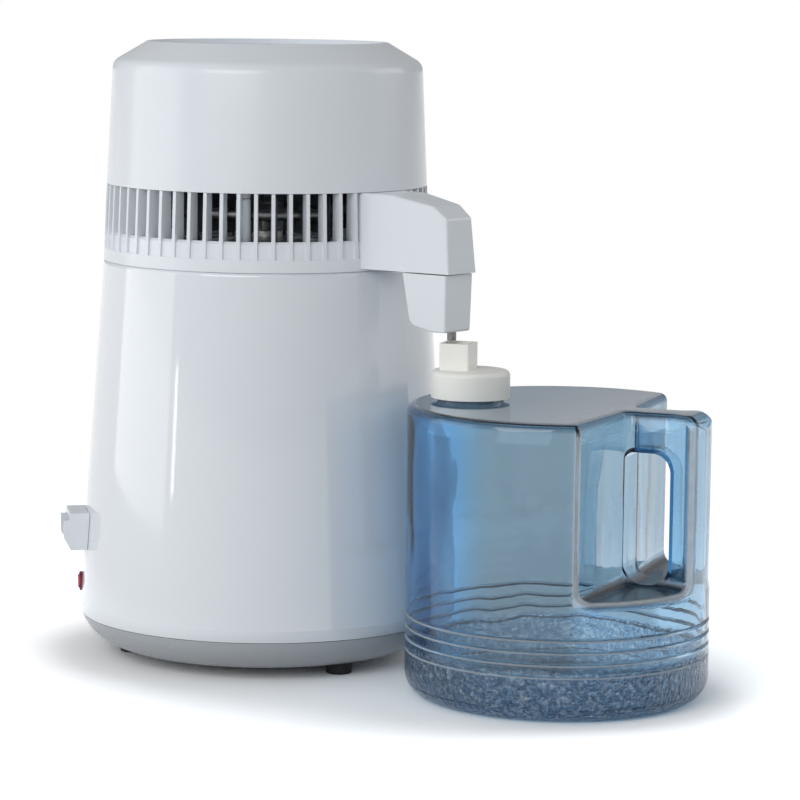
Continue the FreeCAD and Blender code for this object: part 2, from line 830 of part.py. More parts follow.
def reset_button():
    face = button_face()
    back = face - bezel_tube_length - fit_gap
    cap = rod(button_radius, V(back, 0, button_z), V(face + button_proud, 0, button_z))
    rim = [edge for edge in cap.Edges if abs(edge.BoundBox.XMin - (face + button_proud)) < 0.01]
    cap = cap.makeFillet(0.7, rim)
    flange = rod(button_flange_radius, V(back - button_flange, 0, button_z), V(back, 0, button_z))
    stem_low = back - button_flange - cutout_bore_depth + button_travel
    stem = rod(button_stem_radius, V(stem_low, 0, button_z), V(back, 0, button_z))
    return turn(joined([cap, flange, stem]), service_turn)


def overheat_cutout():
    """Manual-reset cutout, carried by its bracket behind the button."""
    deep, wide, high = cutout_size
    front = button_face() - bezel_tube_length - fit_gap - button_flange - button_travel - fit_gap
    body = block(front - deep, front, wide, button_z - high / 2, button_z + high / 2)
    bore_end = V(front - cutout_bore_depth, 0, button_z)
    bore = rod(button_stem_radius + fit_gap, bore_end, V(front + 1, 0, button_z))
    thick, blade, long = sensor_blade
    blades = []
    for side in (-1, 1):
        z = button_z + side * sensor_blade_spacing / 2 - thick / 2
        blades.append(Part.makeBox(long, blade, thick, V(front - deep - long, -blade / 2, z)))
    return turn(joined([body] + blades).cut(bore), service_turn)


def cutout_bracket():
    """Bent strip from the pan's lip level up behind the button, round the bezel's tube."""
    face = button_face()
    back = face - bezel_tube_length - fit_gap - button_flange - button_travel - fit_gap
    deep, wide, high = cutout_size
    top = button_z + high / 2
    strip = 1.2
    reach = casing_radius_at(button_z + high / 2 + strip) - casing_wall
    arm = block(back - deep, reach + 2, wide, top, top + strip)
    arm = arm.common(cone_inside(-casing_wall - touch_gap))
    lip = block(back - deep - strip, back - deep, wide, button_z + high / 4, top + strip)
    return turn(arm.fuse(lip).removeSplitter(), service_turn)


# ---------------------------------------------------------------- condenser head: ring and arm
def arm_solid(inset, start):
    """The spout arm along +X, or its inside when an inset is given."""
    low = arm_bottom_z + inset
    end = arm_end - inset
    front_top = end - arm_front_draft
    flat_z = ring_top_z - assembly_gap - inset
    flat_end = ring_top_radius + arm_flat_length
    crease = arm_end - arm_crease_from_end
    side_view = slab(
        4 * arm_root_half,
        (start, low), (end, low), (front_top, arm_front_top_z - inset, arm_round),
        (crease, arm_crease_z - inset, arm_round * 2), (flat_end, flat_z, arm_round * 2), (start, flat_z))
    root = ring_top_radius
    slope = (arm_root_half - arm_end_half) / (arm_end - root)
    faces = []
    for z, lean in ((arm_bottom_z, 0.0), (ring_top_z, arm_side_draft)):
        near = arm_root_half + (root - start) * slope - inset - lean
        far = arm_end_half - inset - lean - slope
        corners = [V(start, -near, z), V(arm_end + 1, -far, z), V(arm_end + 1, far, z), V(start, near, z)]
        faces.append(Part.makePolygon(corners + corners[:1]))
    wedge = Part.makeLoft(faces, True, True)
    return side_view.common(wedge)


def rounded_arm():
    """The arm with its long upper edges and front corners rounded."""
    arm = arm_solid(0.0, ring_top_radius - rib_depth)
    softened = []
    for edge in arm.Edges:
        box = edge.BoundBox
        upright_front = box.XMin > arm_end - arm_front_draft - 1 and box.ZLength > 10
        roof = box.ZMin > arm_front_top_z - 3 and box.XLength > 5 and box.YLength < box.XLength
        if upright_front or roof:
            softened.append(edge)
    arm = arm.makeFillet(arm_round / 2, softened)
    return arm.cut(upright(ring_bottom_radius - ring_wall, 0, shelf_low_z))


def rib():
    """One radial vent rib, as a thin slab standing outwards from the hoop."""
    low = casing_top_z + ring_band_height - 0.5
    high = ring_top_z - assembly_gap
    inner_top = ring_top_radius - rib_depth
    foot_inner = ring_radius_at(low) - ring_wall - 0.5
    return slab(rib_thickness,
                (foot_inner, low), (ring_radius_at(low), low), (ring_radius_at(high), high),
                (inner_top, high), (inner_top, panel_top_z - 1), (foot_inner, panel_top_z - 4))


def rib_angles():
    """Ribs stand all round except where the arm joins the ring."""
    blocked = math.degrees(math.asin(arm_root_half / ring_top_radius)) + rib_thickness * 0.6
    angles = []
    for i in range(rib_count):
        angle = rib_turn + 360 * i / rib_count
        away = (angle - arm_turn + 180) % 360 - 180
        if abs(away) > blocked:
            angles.append(angle)
    return angles


def vent_ring():
    low = casing_top_z
    band = casing_top_z + ring_band_height
    inner = ring_bottom_radius - ring_wall
    panel_low = ring_radius_at(band) - panel_recess
    panel_high = ring_radius_at(panel_top_z) - panel_recess
    skirt = turned(
        (inner, low), (ring_bottom_radius, low), (ring_radius_at(band), band), (panel_low, band),
        (panel_high, panel_top_z - 1.5), (panel_high - 1.5, panel_top_z),
        (panel_high - panel_wall, panel_top_z),
        (panel_high - panel_wall, shelf_high_z), (shelf_inner_radius, shelf_high_z),
        (shelf_inner_radius, shelf_low_z), (inner, shelf_low_z))
    hoop_outer = cover_radius_at(ring_top_z + hoop_height) - cover_wall - assembly_gap
    hoop = ring(hoop_outer, hoop_outer - hoop_wall, ring_top_z - assembly_gap, ring_top_z + hoop_height)
    post = moved(turned((0, shelf_high_z - 1), (head_post_radius, shelf_high_z - 1),
                        (head_post_radius, head_post_top_z, head_post_round), (0, head_post_top_z)),
                 head_post_circle)
    posts = spread(post, head_post_count, head_post_turn)
    ribs = [turn(rib(), angle) for angle in rib_angles()]
    solid = joined([skirt, hoop, turn(rounded_arm(), arm_turn)] + ribs + posts)
    hollow = arm_solid(arm_wall, ring_top_radius - rib_depth - 1)
    hollow = hollow.cut(upright(ring_bottom_radius, 0, shelf_high_z))
    drop = block(nozzle_reach - nose_collar_back - assembly_gap,
                 nozzle_reach + nose_collar_front + assembly_gap,
                 nose_collar_width + 2 * assembly_gap, arm_bottom_z - 1, arm_bottom_z + arm_wall + 1)
    screw_hole = upright(head_screw_radius + touch_gap, shelf_low_z - 1, head_post_top_z + 1, head_post_circle)
    holes = spread(screw_hole,
                   head_post_count, head_post_turn)
    return solid.cut([turn(hollow, arm_turn), turn(drop, arm_turn)] + holes)


# ---------------------------------------------------------------- nose and nozzle
def nose_half_at(x, inset):
    """Half width of the nose, a little inside the arm's own taper."""
    slope = (arm_root_half - arm_end_half) / (arm_end - ring_top_radius)
    return arm_end_half + (arm_end - x) * slope - nose_side_step - inset


def nose_solid(inset, high):
    """The nose under the arm's end, or its inside when an inset is given."""
    outer_front = arm_end - nose_front_step
    front = outer_front - inset
    heel = outer_front - nose_length + inset
    low = nose_bottom_z + inset
    side_view = slab(
        4 * arm_root_half,
        (heel, high), (heel + nose_heel_lean, low + nose_heel_rise, nose_heel_round),
        (front - nose_length / 3, low, nose_heel_round * 2), (front - nose_draft, low, nose_draft * 2),
        (front, high))
    faces = []
    for z, tuck in ((high, 0.0), (nose_bottom_z - 1, nose_draft)):
        start = heel - 1
        end = front + 1
        near = nose_half_at(start, inset) - tuck
        far = nose_half_at(end, inset) - tuck
        corners = [V(start, -near, z), V(end, -far, z), V(end, far, z), V(start, near, z)]
        faces.append(Part.makePolygon(corners + corners[:1]))
    return side_view.common(Part.makeLoft(faces, True, True))


def outlet_nose():
    high = arm_bottom_z - nose_seam
    outer = nose_solid(0.0, high)
    corners = [edge for edge in outer.Edges
               if edge.BoundBox.ZLength > nose_length / 2
               and edge.BoundBox.XMin > nozzle_reach - nose_collar_back]
    outer = outer.makeFillet(nose_corner_round, corners)
    shell = outer.cut(nose_solid(nose_wall, high - nose_wall))
    start = nozzle_reach - nose_collar_back
    end = nozzle_reach + nose_collar_front
    collar = block(start, end, nose_collar_width, high - nose_wall / 2, high + nose_collar_height)
    shell = shell.fuse(collar).removeSplitter()
    wall = nose_collar_wall
    passage = block(start + wall, end - wall / 2, nose_collar_width - 2 * wall,
                    high - nose_wall - 1, high + nose_collar_height + 1)
    tip_hole = upright(nozzle_radius + touch_gap, nose_bottom_z - 2, high + 1, nozzle_reach)
    return turn(shell.cut([passage, tip_hole]), arm_turn)


def outlet_nozzle():
    high = coil_end_z + nozzle_overlap
    tube = upright(nozzle_radius, nozzle_low_z, high, nozzle_reach)
    bore = upright(nozzle_radius - nozzle_wall, nozzle_low_z - 1, high + 1, nozzle_reach)
    return turn(tube.cut(bore), arm_turn)


# ---------------------------------------------------------------- steam dome and condenser
def steam_dome():
    low = dome_flange_z
    wall = dome_wall
    bore = chimney_bore
    neck = bore + wall
    dome = turned(
        (gasket_outer + fit_gap, low), (gasket_outer + fit_gap, low + wall), (dome_cone_radius, low + wall),
        (neck, dome_neck_z + wall), (neck, chimney_top_z), (bore, chimney_top_z), (bore, dome_neck_z),
        (dome_cone_radius, low))
    hole = upright(head_screw_radius + touch_gap, low - 1, low + 2, head_post_circle)
    return dome.cut(spread(hole, head_post_count, head_post_turn))


def head_gasket():
    return ring(gasket_outer, gasket_inner, rim_top_z + fit_gap, dome_flange_z)


def steam_bush():
    return ring(chimney_bore - touch_gap, tube_radius + touch_gap, chimney_top_z - bush_height, chimney_top_z)


def riser_pieces(radius):
    """Up out of the dome, over to the side, and into the first circle of the spiral."""
    bend = coil_bend
    lead_centre = coil_start_radius - bend
    open_angle = math.degrees(math.asin(bend / lead_centre))
    meet = lead_centre * math.cos(math.radians(open_angle))
    corner = V(-bend, 0, coil_z - bend)
    return [
        upright(radius, chimney_top_z - bush_height, coil_z - bend),
        tube_bend(radius, corner, V(0, 0, coil_z - bend), V(0, -1, 0), 90),
        rod(radius, V(-bend, 0, coil_z), V(-meet, 0, coil_z)),
        tube_bend(radius, V(-meet, -bend, coil_z), V(-meet, 0, coil_z), UP, 90 + open_angle),
        tube_bend(radius, V(0, 0, coil_z), on_circle(coil_start_radius, 180 + open_angle, coil_z), UP,
                  180 - open_angle)]


def spiral_pieces(radius, slip):
    """Half turns about two centres; the last stops short by the slip angle."""
    step = coil_pitch / 2
    centre = V(0, 0, coil_z)
    other = V(-step, 0, coil_z)
    pieces = []
    for i in range(coil_turns):
        reach = coil_start_radius + i * coil_pitch
        last = i == coil_turns - 1
        pieces.append(tube_bend(radius, other, V(reach, 0, coil_z), UP, 180))
        sweep = 180 - slip if last else 180
        pieces.append(tube_bend(radius, centre, V(-reach - coil_pitch, 0, coil_z), UP, sweep))
    return pieces


def spout_pieces(radius, slip):
    """Turn outwards off the last circle, along the arm, and down to the nozzle."""
    bend = spout_bend
    last = coil_start_radius + coil_turns * coil_pitch
    turn_centre = on_circle(last + bend, -slip, coil_z)
    down_x = nozzle_reach - bend
    return [
        tube_bend(radius, turn_centre, on_circle(last, -slip, coil_z), UP * -1, 90 - slip),
        rod(radius, V(turn_centre.x, 0, coil_z), V(down_x, 0, coil_z)),
        tube_bend(radius, V(down_x, 0, coil_z - bend), V(down_x, 0, coil_z), V(0, 1, 0), 90),
        upright(radius, coil_end_z, coil_z - bend, nozzle_reach)]


def condenser_path(radius):
    """The whole tube as a solid of the given radius, with +X along the arm."""
    last = coil_start_radius + coil_turns * coil_pitch
    slip = math.degrees(math.asin(spout_bend / (last + spout_bend)))
    return joined(riser_pieces(radius) + spiral_pieces(radius, slip) + spout_pieces(radius, slip))


def condenser_coil():
    tube = condenser_path(tube_radius).cut(condenser_path(tube_radius - tube_wall))
    return turn(tube, arm_turn)


def cooling_fins():
    """Upright plates pressed over the spiral; each stands on the ring's shelf."""
    leg = shelf_inner_radius + touch_gap
    fin = slab(fin_thickness,
               (fin_inner, fin_low_z), (leg, fin_low_z), (leg, shelf_high_z), (fin_outer, shelf_high_z),
               (fin_outer, fin_high_z), (fin_inner, fin_high_z))
    path = condenser_path(tube_radius + touch_gap)
    fins = []
    for i in range(fin_count):
        angle = 360 * (i + 0.5) / fin_count
        if fin_skip < angle < 360 - fin_skip:
            fins.append(turn(turn(fin, angle).cut(path), arm_turn))
    return group(fins)


# ---------------------------------------------------------------- cover and grille
def cover_radius_at(z):
    """Outside radius of the cover's side."""
    share = (z - ring_top_z) / (cover_shoulder_z - ring_top_z)
    return ring_top_radius + (cover_shoulder_radius - ring_top_radius) * share


def cover_solid(inset):
    """The cover filled in, or the space inside its walls when an inset is given."""
    foot = (ring_top_radius, ring_top_z)
    shoulder = (cover_shoulder_radius, cover_shoulder_z)
    rim = (cover_rim_radius, cover_top_z)
    inner_shoulder = inset_corner(foot, shoulder, rim, inset)
    inner_rim = inset_corner(shoulder, rim, (0, cover_top_z), inset)
    return turned(
        (0, ring_top_z), (ring_top_radius - inset, ring_top_z),
        (inner_shoulder[0], inner_shoulder[1], cover_shoulder_round - inset),
        (inner_rim[0], inner_rim[1], cover_rim_round), (0, inner_rim[1]))


def top_cover():
    seat = grille_low_z
    ceiling = ring(cover_shoulder_radius, cover_intake_radius, seat - grille_seat, cover_top_z)
    ceiling = ceiling.common(cover_solid(cover_wall / 2))
    shell = cover_solid(0.0).cut(cover_solid(cover_wall))
    posts = spread(upright(head_post_radius, head_post_top_z + assembly_gap, cover_top_z, head_post_circle),
                   head_post_count, head_post_turn)
    motor_post = upright(motor_post_radius, motor_bar_top_z, cover_top_z, motor_post_circle)
    posts += spread(motor_post, 2, motor_post_turn)
    inside = cover_solid(cover_wall / 2)
    low_part = upright(cover_shoulder_radius, 0, ring_top_z + 1)
    posts = [post.common(inside).fuse(post.common(low_part)).removeSplitter() for post in posts]
    shell = joined([shell, ceiling] + posts)
    opening = upright(cover_intake_radius, seat - grille_seat - 1, cover_top_z + 1)
    recess = upright(cover_rim_radius - cover_rim_width, seat, cover_top_z + 1)
    screw_holes = spread(upright(head_screw_radius + touch_gap, 0, screw_tip_z + 1, head_post_circle),
                         head_post_count, head_post_turn)
    screw_holes += spread(upright(bolt_radius + touch_gap, 0, motor_bar_top_z + bar_screw_bite + 1,
                                  motor_post_circle), 2, motor_post_turn)
    return shell.cut([opening, recess] + screw_holes)


def intake_grille():
    low = grille_low_z
    high = low + grille_thickness
    outer = cover_rim_radius - cover_rim_width - assembly_gap
    pieces = [ring(outer, cover_intake_radius - 1, low, high), upright(outer / grille_rings, low, high)]
    for i in range(1, grille_rings):
        middle = outer * i / grille_rings
        if middle + grille_bar < cover_intake_radius:
            pieces.append(ring(middle + grille_bar / 2, middle - grille_bar / 2, low, high))
    spoke = block(grille_bar, cover_intake_radius, grille_bar, low, high - grille_bar / 3)
    return joined(pieces + spread(spoke, grille_spokes))


def head_screws():
    """Long screws from under the dome's flange, through the ring's posts into the cover's."""
    head_low = dome_flange_z - bolt_head_height
    screw = joined([
        upright(head_screw_radius, head_low, screw_tip_z, head_post_circle),
        upright(head_screw_head_radius, head_low, dome_flange_z, head_post_circle)])
    return group(spread(screw, head_post_count, head_post_turn))


# ---------------------------------------------------------------- fan and motor
def motor_stack():
    low = stack_low_z
    high = low + stack_height
    stack = block(-limb_outer, stack_front, stack_width, low, high)
    window = block(-limb_inner, -window_inner, window_width, low - 1, high + 1)
    bore = upright(rotor_radius + rotor_air_gap, low - 1, high + 1)
    holes = [upright(bolt_radius + touch_gap, low - 1, high + 1, 0, side * bolt_spacing / 2)
             for side in (-1, 1)]
    return turn(stack.cut([window, bore] + holes), motor_turn)


def motor_winding():
    low = stack_low_z - bobbin_build
    high = stack_low_z + stack_height + bobbin_build
    coil = block(-limb_outer - bobbin_build, -limb_inner + bobbin_build, bobbin_length, low, high)
    coil = coil.makeFillet(2.0, [edge for edge in coil.Edges if edge.BoundBox.YLength > bobbin_length / 2])
    limb = block(-limb_outer - touch_gap, -limb_inner + touch_gap, bobbin_length + 2,
                 stack_low_z - touch_gap, stack_low_z + stack_height + touch_gap)
    return turn(coil.cut(limb), motor_turn)


def bearing_bar(low):
    bar = block(-bearing_width / 2, bearing_width / 2, stack_width, low, low + bearing_plate)
    holes = [upright(bolt_radius + touch_gap, low - 1, low + bearing_plate + 1, 0, side * bolt_spacing / 2)
             for side in (-1, 1)]
    holes.append(upright(shaft_radius + shaft_clearance, low - 1, low + bearing_plate + 1))
    return turn(bar.cut(holes), motor_turn)


def lower_bearing():
    return bearing_bar(stack_low_z - bearing_plate)


def upper_bearing():
    return bearing_bar(stack_low_z + stack_height)


def motor_bar():
    """Strip that carries the motor between the cover's two posts."""
    low = motor_bar_top_z - motor_bar_thickness
    reach = motor_post_circle + motor_bar_overhang
    bar = plan(low, motor_bar_top_z,
               (-reach, -motor_bar_width / 2, 4), (reach, -motor_bar_width / 2, 4),
               (reach, motor_bar_width / 2, 4), (-reach, motor_bar_width / 2, 4))
    holes = []
    for side in (-1, 1):
        for x in (motor_post_circle, bolt_spacing / 2):
            holes.append(upright(bolt_radius + touch_gap, low - 1, motor_bar_top_z + 1, side * x))
    holes.append(upright(shaft_radius * 2, low - 1, motor_bar_top_z + 1))
    return turn(bar.cut(holes), motor_post_turn)


def motor_bolts():
    low = stack_low_z - bearing_plate
    bolts = []
    for side in (-1, 1):
        y = side * bolt_spacing / 2
        shank = upright(bolt_radius, low, motor_bar_top_z + bolt_head_height + bolt_tail, 0, y)
        head = upright(bolt_head_radius, low - bolt_head_height, low, 0, y)
        bolts.append(turn(shank.fuse(head).removeSplitter(), motor_turn))
    return group(bolts)


def motor_nuts():
    nuts = []
    for side in (-1, 1):
        nut = hexagon(bolt_head_radius * 2, motor_bar_top_z, motor_bar_top_z + bolt_head_height)
        nut = nut.cut(upright(bolt_radius + shaft_clearance, 0, cover_top_z))
        nuts.append(turn(moved(nut, 0, side * bolt_spacing / 2), motor_turn))
    return group(nuts)


def bar_screws():
    low = motor_bar_top_z - motor_bar_thickness
    screw = joined([
        upright(bolt_radius, low, motor_bar_top_z + bar_screw_bite, motor_post_circle),
        upright(bolt_head_radius, low - bolt_head_height, low, motor_post_circle)])
    return group(spread(screw, 2, motor_post_turn))


def motor_rotor():
    middle = stack_low_z + stack_height / 2
    body = upright(rotor_radius, middle - rotor_height / 2, middle + rotor_height / 2)
    shaft = upright(shaft_radius, fan_low_z - 1, stack_low_z + stack_height + bearing_plate + shaft_tail)
    return body.fuse(shaft).removeSplitter()


def cooling_fan():
    high = fan_low_z + fan_hub_height
    middle = (fan_low_z + high) / 2
    hub = upright(fan_hub_radius, fan_low_z, high)
    hub = hub.makeFillet(1.5, [edge for edge in hub.Edges if abs(edge.BoundBox.ZMin - fan_low_z) < 0.01
                               and edge.BoundBox.ZLength < 0.01])
    half = fan_blade_chord / 2
    blade = plan(-fan_blade_thickness / 2, fan_blade_thickness / 2,
                 (fan_hub_radius * 0.7, -half * 0.6), (fan_radius, -half, half * 0.5),
                 (fan_radius, half, half * 0.8), (fan_hub_radius * 0.7, half * 0.6))
    blade.rotate(HERE, V(1, 0, 0), fan_blade_pitch)
    blade.translate(V(0, 0, middle))
    sweep = upright(fan_radius, fan_low_z - half, high + half)
    blades = spread(blade.common(sweep), fan_blade_count)
    bore = upright(shaft_radius + shaft_clearance / 2, fan_low_z - fan_blade_chord, high + fan_blade_chord)
    return joined([hub] + blades).cut(bore)


# ---------------------------------------------------------------- wiring inside the base
def lead(points):
    """Round wire along straight runs with tangent arcs at the corners."""
    edges = []
    start = points[0]
    for i in range(1, len(points) - 1):
        arc_start, arc, arc_end = corner_arc(points[i - 1], points[i], points[i + 1], lead_bend)
        edges.append(Part.LineSegment(start, arc_start).toShape())
        edges.append(arc)
        start = arc_end
    edges.append(Part.LineSegment(start, points[-1]).toShape())
    section = Part.Wire(Part.makeCircle(lead_radius, points[0], points[1] - points[0]))
    return Part.Wire(edges).makePipeShell([section], True, True)


def inner_leads():
    """Inlet to terminal block, and terminal block to the heater's pins."""
    deep, wide, high = terminal_block
    floor = foot_height + pan_wall
    block_front = terminal_block_radius + deep
    inlet_low = inlet_z - inlet_height / 4
    leads = []
    for side in (-1, 1):
        pin = element_foot(side) - UP * terminal_length
        rise = (pin.z + floor + high) / 2
        leads.append(lead([
            V(inlet_back, side * lead_side, inlet_low), V(lead_drop_radius, side * lead_side, inlet_low),
            V(lead_drop_radius, side * lead_side, floor + high * 2),
            V(block_front + 2 * lead_bend, side * wide / 3, floor + high / 2),
            V(block_front, side * wide / 3, floor + high / 2)]))
        leads.append(lead([
            V(terminal_block_radius + deep / 3, pin.y, floor + high),
            V(terminal_block_radius + deep / 3, pin.y, rise),
            V(pin.x, pin.y, rise), pin]))
    return turn(group(leads), service_turn)


def lead_terminals():
    """Push-on sleeves that carry the leads on to the heater's pins."""
    sleeves = []
    for side in (-1, 1):
        foot = element_foot(side)
        sleeve = ring(terminal_radius + 1.0, terminal_radius + touch_gap, foot.z - terminal_length + assembly_gap,
                      foot.z - assembly_gap)
        sleeves.append(moved(sleeve, foot.x, foot.y))
    return turn(group(sleeves), service_turn)


def terminal_block_body():
    deep, wide, high = terminal_block
    floor = foot_height + pan_wall
    body = block(terminal_block_radius, terminal_block_radius + deep, wide, floor, floor + high)
    groove_x = terminal_block_radius - 1
    grooves = [Part.makeBox(deep + 2, 1.0, 3.0, V(groove_x, side * wide / 6 - 0.5, floor + high - 3))
               for side in (-1, 1)]
    return turn(body.cut(grooves), service_turn)


# ---------------------------------------------------------------- carafe
def carafe_solid(inset):
    """The carafe's outside, or its inside when an inset is given, before the handle is formed."""
    outer = carafe_radius - inset
    ribs = []
    if inset == 0:
        for i in reversed(range(band_rib_count)):
            z = rib_band_top_z - i * band_rib_pitch
            half = band_rib_width / 2
            ribs += [(outer, z - half), (outer - band_rib_depth, z), (outer, z + half)]
    drum = turned(
        (0, carafe_push_up + inset), (carafe_stand_radius - 2 * carafe_push_up, carafe_push_up + inset),
        (carafe_stand_radius, inset), (outer, inset, carafe_foot_round - inset),
        *ribs,
        (outer, carafe_top_z - inset), (0, carafe_top_z - inset))
    corner = slab(
        3 * carafe_radius,
        (-2 * carafe_radius, 0), (outer, 0), (outer, carafe_top_z - inset, handle_corner_round - inset),
        (-2 * carafe_radius, carafe_top_z - inset))
    return drum.common(corner)


def recess_tools(grow):
    """Both pockets beside the handle, open at the top, grown outwards by a wall's thickness."""
    outside = carafe_radius + 8
    left_far = recess_left - (outside - web_half) * math.tan(math.radians(recess_left_draft))
    right_far = web_half + (outside - recess_right) * math.tan(math.radians(recess_right_flare))
    points = inset_outline(
        [(left_far, -outside), (outside, -outside), (outside, -right_far), (recess_right, -web_half),
         (recess_left, -web_half)], -grow)
    rounds = (0, 0, 0, recess_right_round + grow, recess_left_round + grow)
    low = recess_low_z - grow
    pocket = plan(low, carafe_top_z + 10, *[(x, y, r) for (x, y), r in zip(points, rounds)])
    floor_edges = [edge for edge in pocket.Edges
                   if edge.BoundBox.ZMax < low + 0.1 and edge.CenterOfMass.y > -outside * 0.8
                   and edge.CenterOfMass.x < outside * 0.98]
    pocket = pocket.makeFillet(recess_floor_round + grow, floor_edges)
    return [pocket, pocket.mirror(HERE, V(0, 1, 0))]


def grip_hole(grow):
    """The finger hole through the web, grown outwards by a wall's thickness."""
    left = recess_left - grow
    right = grip_hole_right + grow
    low = grip_hole_low_z - grow
    high = grip_hole_high_z + grow
    big = grip_hole_round + grow
    return slab(4 * web_half, (left, low, big), (right, low, big), (right, high, big),
                (left, high, grip_hole_left_round + grow))


def top_edges(shape, high):
    """Every edge of the top face, which lies at the given height."""
    top = [face for face in shape.Faces if face.BoundBox.ZMin > high - 0.01]
    return top[0].Edges


def mouth_edges(shape):
    """Edges below the top where the pockets break through the drum's side."""
    found = []
    for edge in shape.Edges:
        box = edge.BoundBox
        first, last = edge.ParameterRange
        points = [edge.valueAt(first + (last - first) * share) for share in (0.1, 0.5, 0.9)]
        on_side = all(abs(math.hypot(point.x, point.y) - carafe_radius) < 0.05 for point in points)
        beside_web = abs(edge.CenterOfMass.y) > web_half * 1.5
        if on_side and beside_web and box.ZMin > recess_low_z - 1 and box.ZMin < carafe_top_z - 0.01:
            found.append(edge)
    return found


def carafe_body():
    neck = ring(neck_radius, neck_radius - neck_wall, carafe_top_z - carafe_wall, neck_top_z)
    neck = turn(moved(neck, -cap_offset), cap_turn - handle_turn)
    outer = carafe_solid(0.0).cut(recess_tools(0.0))
    outer = outer.makeFillet(carafe_edge_round, top_edges(outer, carafe_top_z) + mouth_edges(outer))
    outer = outer.cut(grip_hole(0.0))
    inner = carafe_solid(carafe_wall).cut(recess_tools(carafe_wall))
    inner = inner.makeFillet(carafe_edge_round - carafe_wall, top_edges(inner, carafe_top_z - carafe_wall))
    inner = inner.cut(grip_hole(carafe_wall))
    mouth = moved(upright(neck_radius - neck_wall, carafe_top_z - 2 * carafe_wall, neck_top_z + 1), -cap_offset)
    mouth = turn(mouth, cap_turn - handle_turn)
    body = outer.fuse(neck).removeSplitter().cut([inner, mouth])
    return turn(body, handle_turn)


def on_neck(shape):
    """Move a shape from the carafe's axis to the neck's."""
    return turn(moved(shape, -cap_offset), cap_turn)


def carafe_cap():
    side = box_side / 2
    inner_side = side - box_wall
    disc = turned((0, cap_low_z), (cap_radius, cap_low_z), (cap_radius, cap_top_z, cap_round), (0, cap_top_z))
    box = Part.makeBox(box_side, box_side, box_height + cap_wall / 2,
                       V(-box_offset - side, -side, cap_top_z - cap_wall / 2))
    box = box.makeFillet(box_round, [edge for edge in box.Edges if edge.BoundBox.ZLength > box_height])
    cap = disc.fuse(box).removeSplitter()
    bore = upright(neck_radius + cap_clearance, cap_low_z - 1, cap_top_z - cap_wall)
    well = Part.makeBox(inner_side * 2, inner_side * 2, box_height + 1,
                        V(-box_offset - inner_side, -inner_side, cap_top_z))
    drain = upright(box_drain_radius, cap_low_z, cap_top_z + 1, -box_offset)
    return on_neck(turn(cap.cut([bore, well, drain]), chimney_turn - cap_turn))


def cap_seal():
    high = cap_top_z - cap_wall
    return on_neck(ring(neck_radius, neck_radius - neck_wall * 1.5, high - seal_height, high))


def filter_cup():
    high = cap_top_z - cap_wall - seal_height
    low = high - cup_depth
    flange = neck_radius - touch_gap
    cup = turned(
        (0, low), (cup_radius, low, 1.5), (cup_radius, high - cup_flange), (flange, high - cup_flange),
        (flange, high), (cup_radius - cup_wall, high), (cup_radius - cup_wall, low + cup_wall),
        (0, low + cup_wall))
    holes = [upright(cup_hole_radius, low - 1, low + 3)]
    for count, circle in ((6, cup_radius * 0.35), (10, cup_radius * 0.68)):
        holes += spread(upright(cup_hole_radius, low - 1, low + 3, circle), count)
    return on_neck(cup.cut(holes))


def charcoal_sachet():
    low = cap_top_z - cap_wall - seal_height - cup_depth + cup_wall + touch_gap
    radius = cup_radius - cup_wall - fit_gap
    return on_neck(turned((0, low), (radius, low, 3.0), (radius, low + sachet_height, 4.0),
                          (0, low + sachet_height)))


# ---------------------------------------------------------------- assembly
BOILER = {
    "boiler_casing": boiler_casing, "base_pan": base_pan, "rubber_feet": rubber_feet,
    "base_screws": base_screws, "boiling_tank": boiling_tank, "tank_base": tank_base,
    "heater_plate": heater_plate,
    "heater_element": heater_element, "heater_clamp": heater_clamp, "clamp_nut": clamp_nut,
    "working_thermostat": working_thermostat, "boil_dry_thermostat": boil_dry_thermostat,
    "thermal_fuse": thermal_fuse, "fuse_strap": fuse_strap, "power_inlet": power_inlet,
    "inlet_pins": inlet_pins, "button_bezel": button_bezel, "reset_button": reset_button,
    "overheat_cutout": overheat_cutout, "cutout_bracket": cutout_bracket,
    "terminal_block": terminal_block_body, "inner_leads": inner_leads, "lead_terminals": lead_terminals,
}
HEAD = {
    "vent_ring": vent_ring, "outlet_nose": outlet_nose, "outlet_nozzle": outlet_nozzle,
    "steam_dome": steam_dome, "head_gasket": head_gasket, "steam_bush": steam_bush,
    "condenser_coil": condenser_coil, "cooling_fins": cooling_fins, "top_cover": top_cover,
    "intake_grille": intake_grille, "head_screws": head_screws, "motor_stack": motor_stack,
    "motor_winding": motor_winding, "lower_bearing": lower_bearing, "upper_bearing": upper_bearing,
    "motor_bar": motor_bar, "motor_bolts": motor_bolts, "motor_nuts": motor_nuts,
    "bar_screws": bar_screws, "motor_rotor": motor_rotor, "cooling_fan": cooling_fan,
}
CARAFE = {
    "carafe_body": carafe_body, "carafe_cap": carafe_cap, "cap_seal": cap_seal,
    "filter_cup": filter_cup, "charcoal_sachet": charcoal_sachet,
}
SERVICE_SIDE = ("heater_plate", "heater_element", "heater_clamp", "clamp_nut", "working_thermostat",
                "boil_dry_thermostat", "thermal_fuse", "fuse_strap")


def write(name, shape):
    shape.exportStep("parts/" + name + ".step")


def main():
    os.makedirs("parts", exist_ok=True)
    for name, make in list(BOILER.items()) + list(HEAD.items()):
        shape = make()
        if name in SERVICE_SIDE:
            shape = turn(shape, service_turn)
        write(name, moved(shape, boiler_x))
    for name, make in CARAFE.items():
        write(name, moved(make(), carafe_x))


main()
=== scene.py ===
import json
import math

import bpy
from mathutils import Matrix, Vector


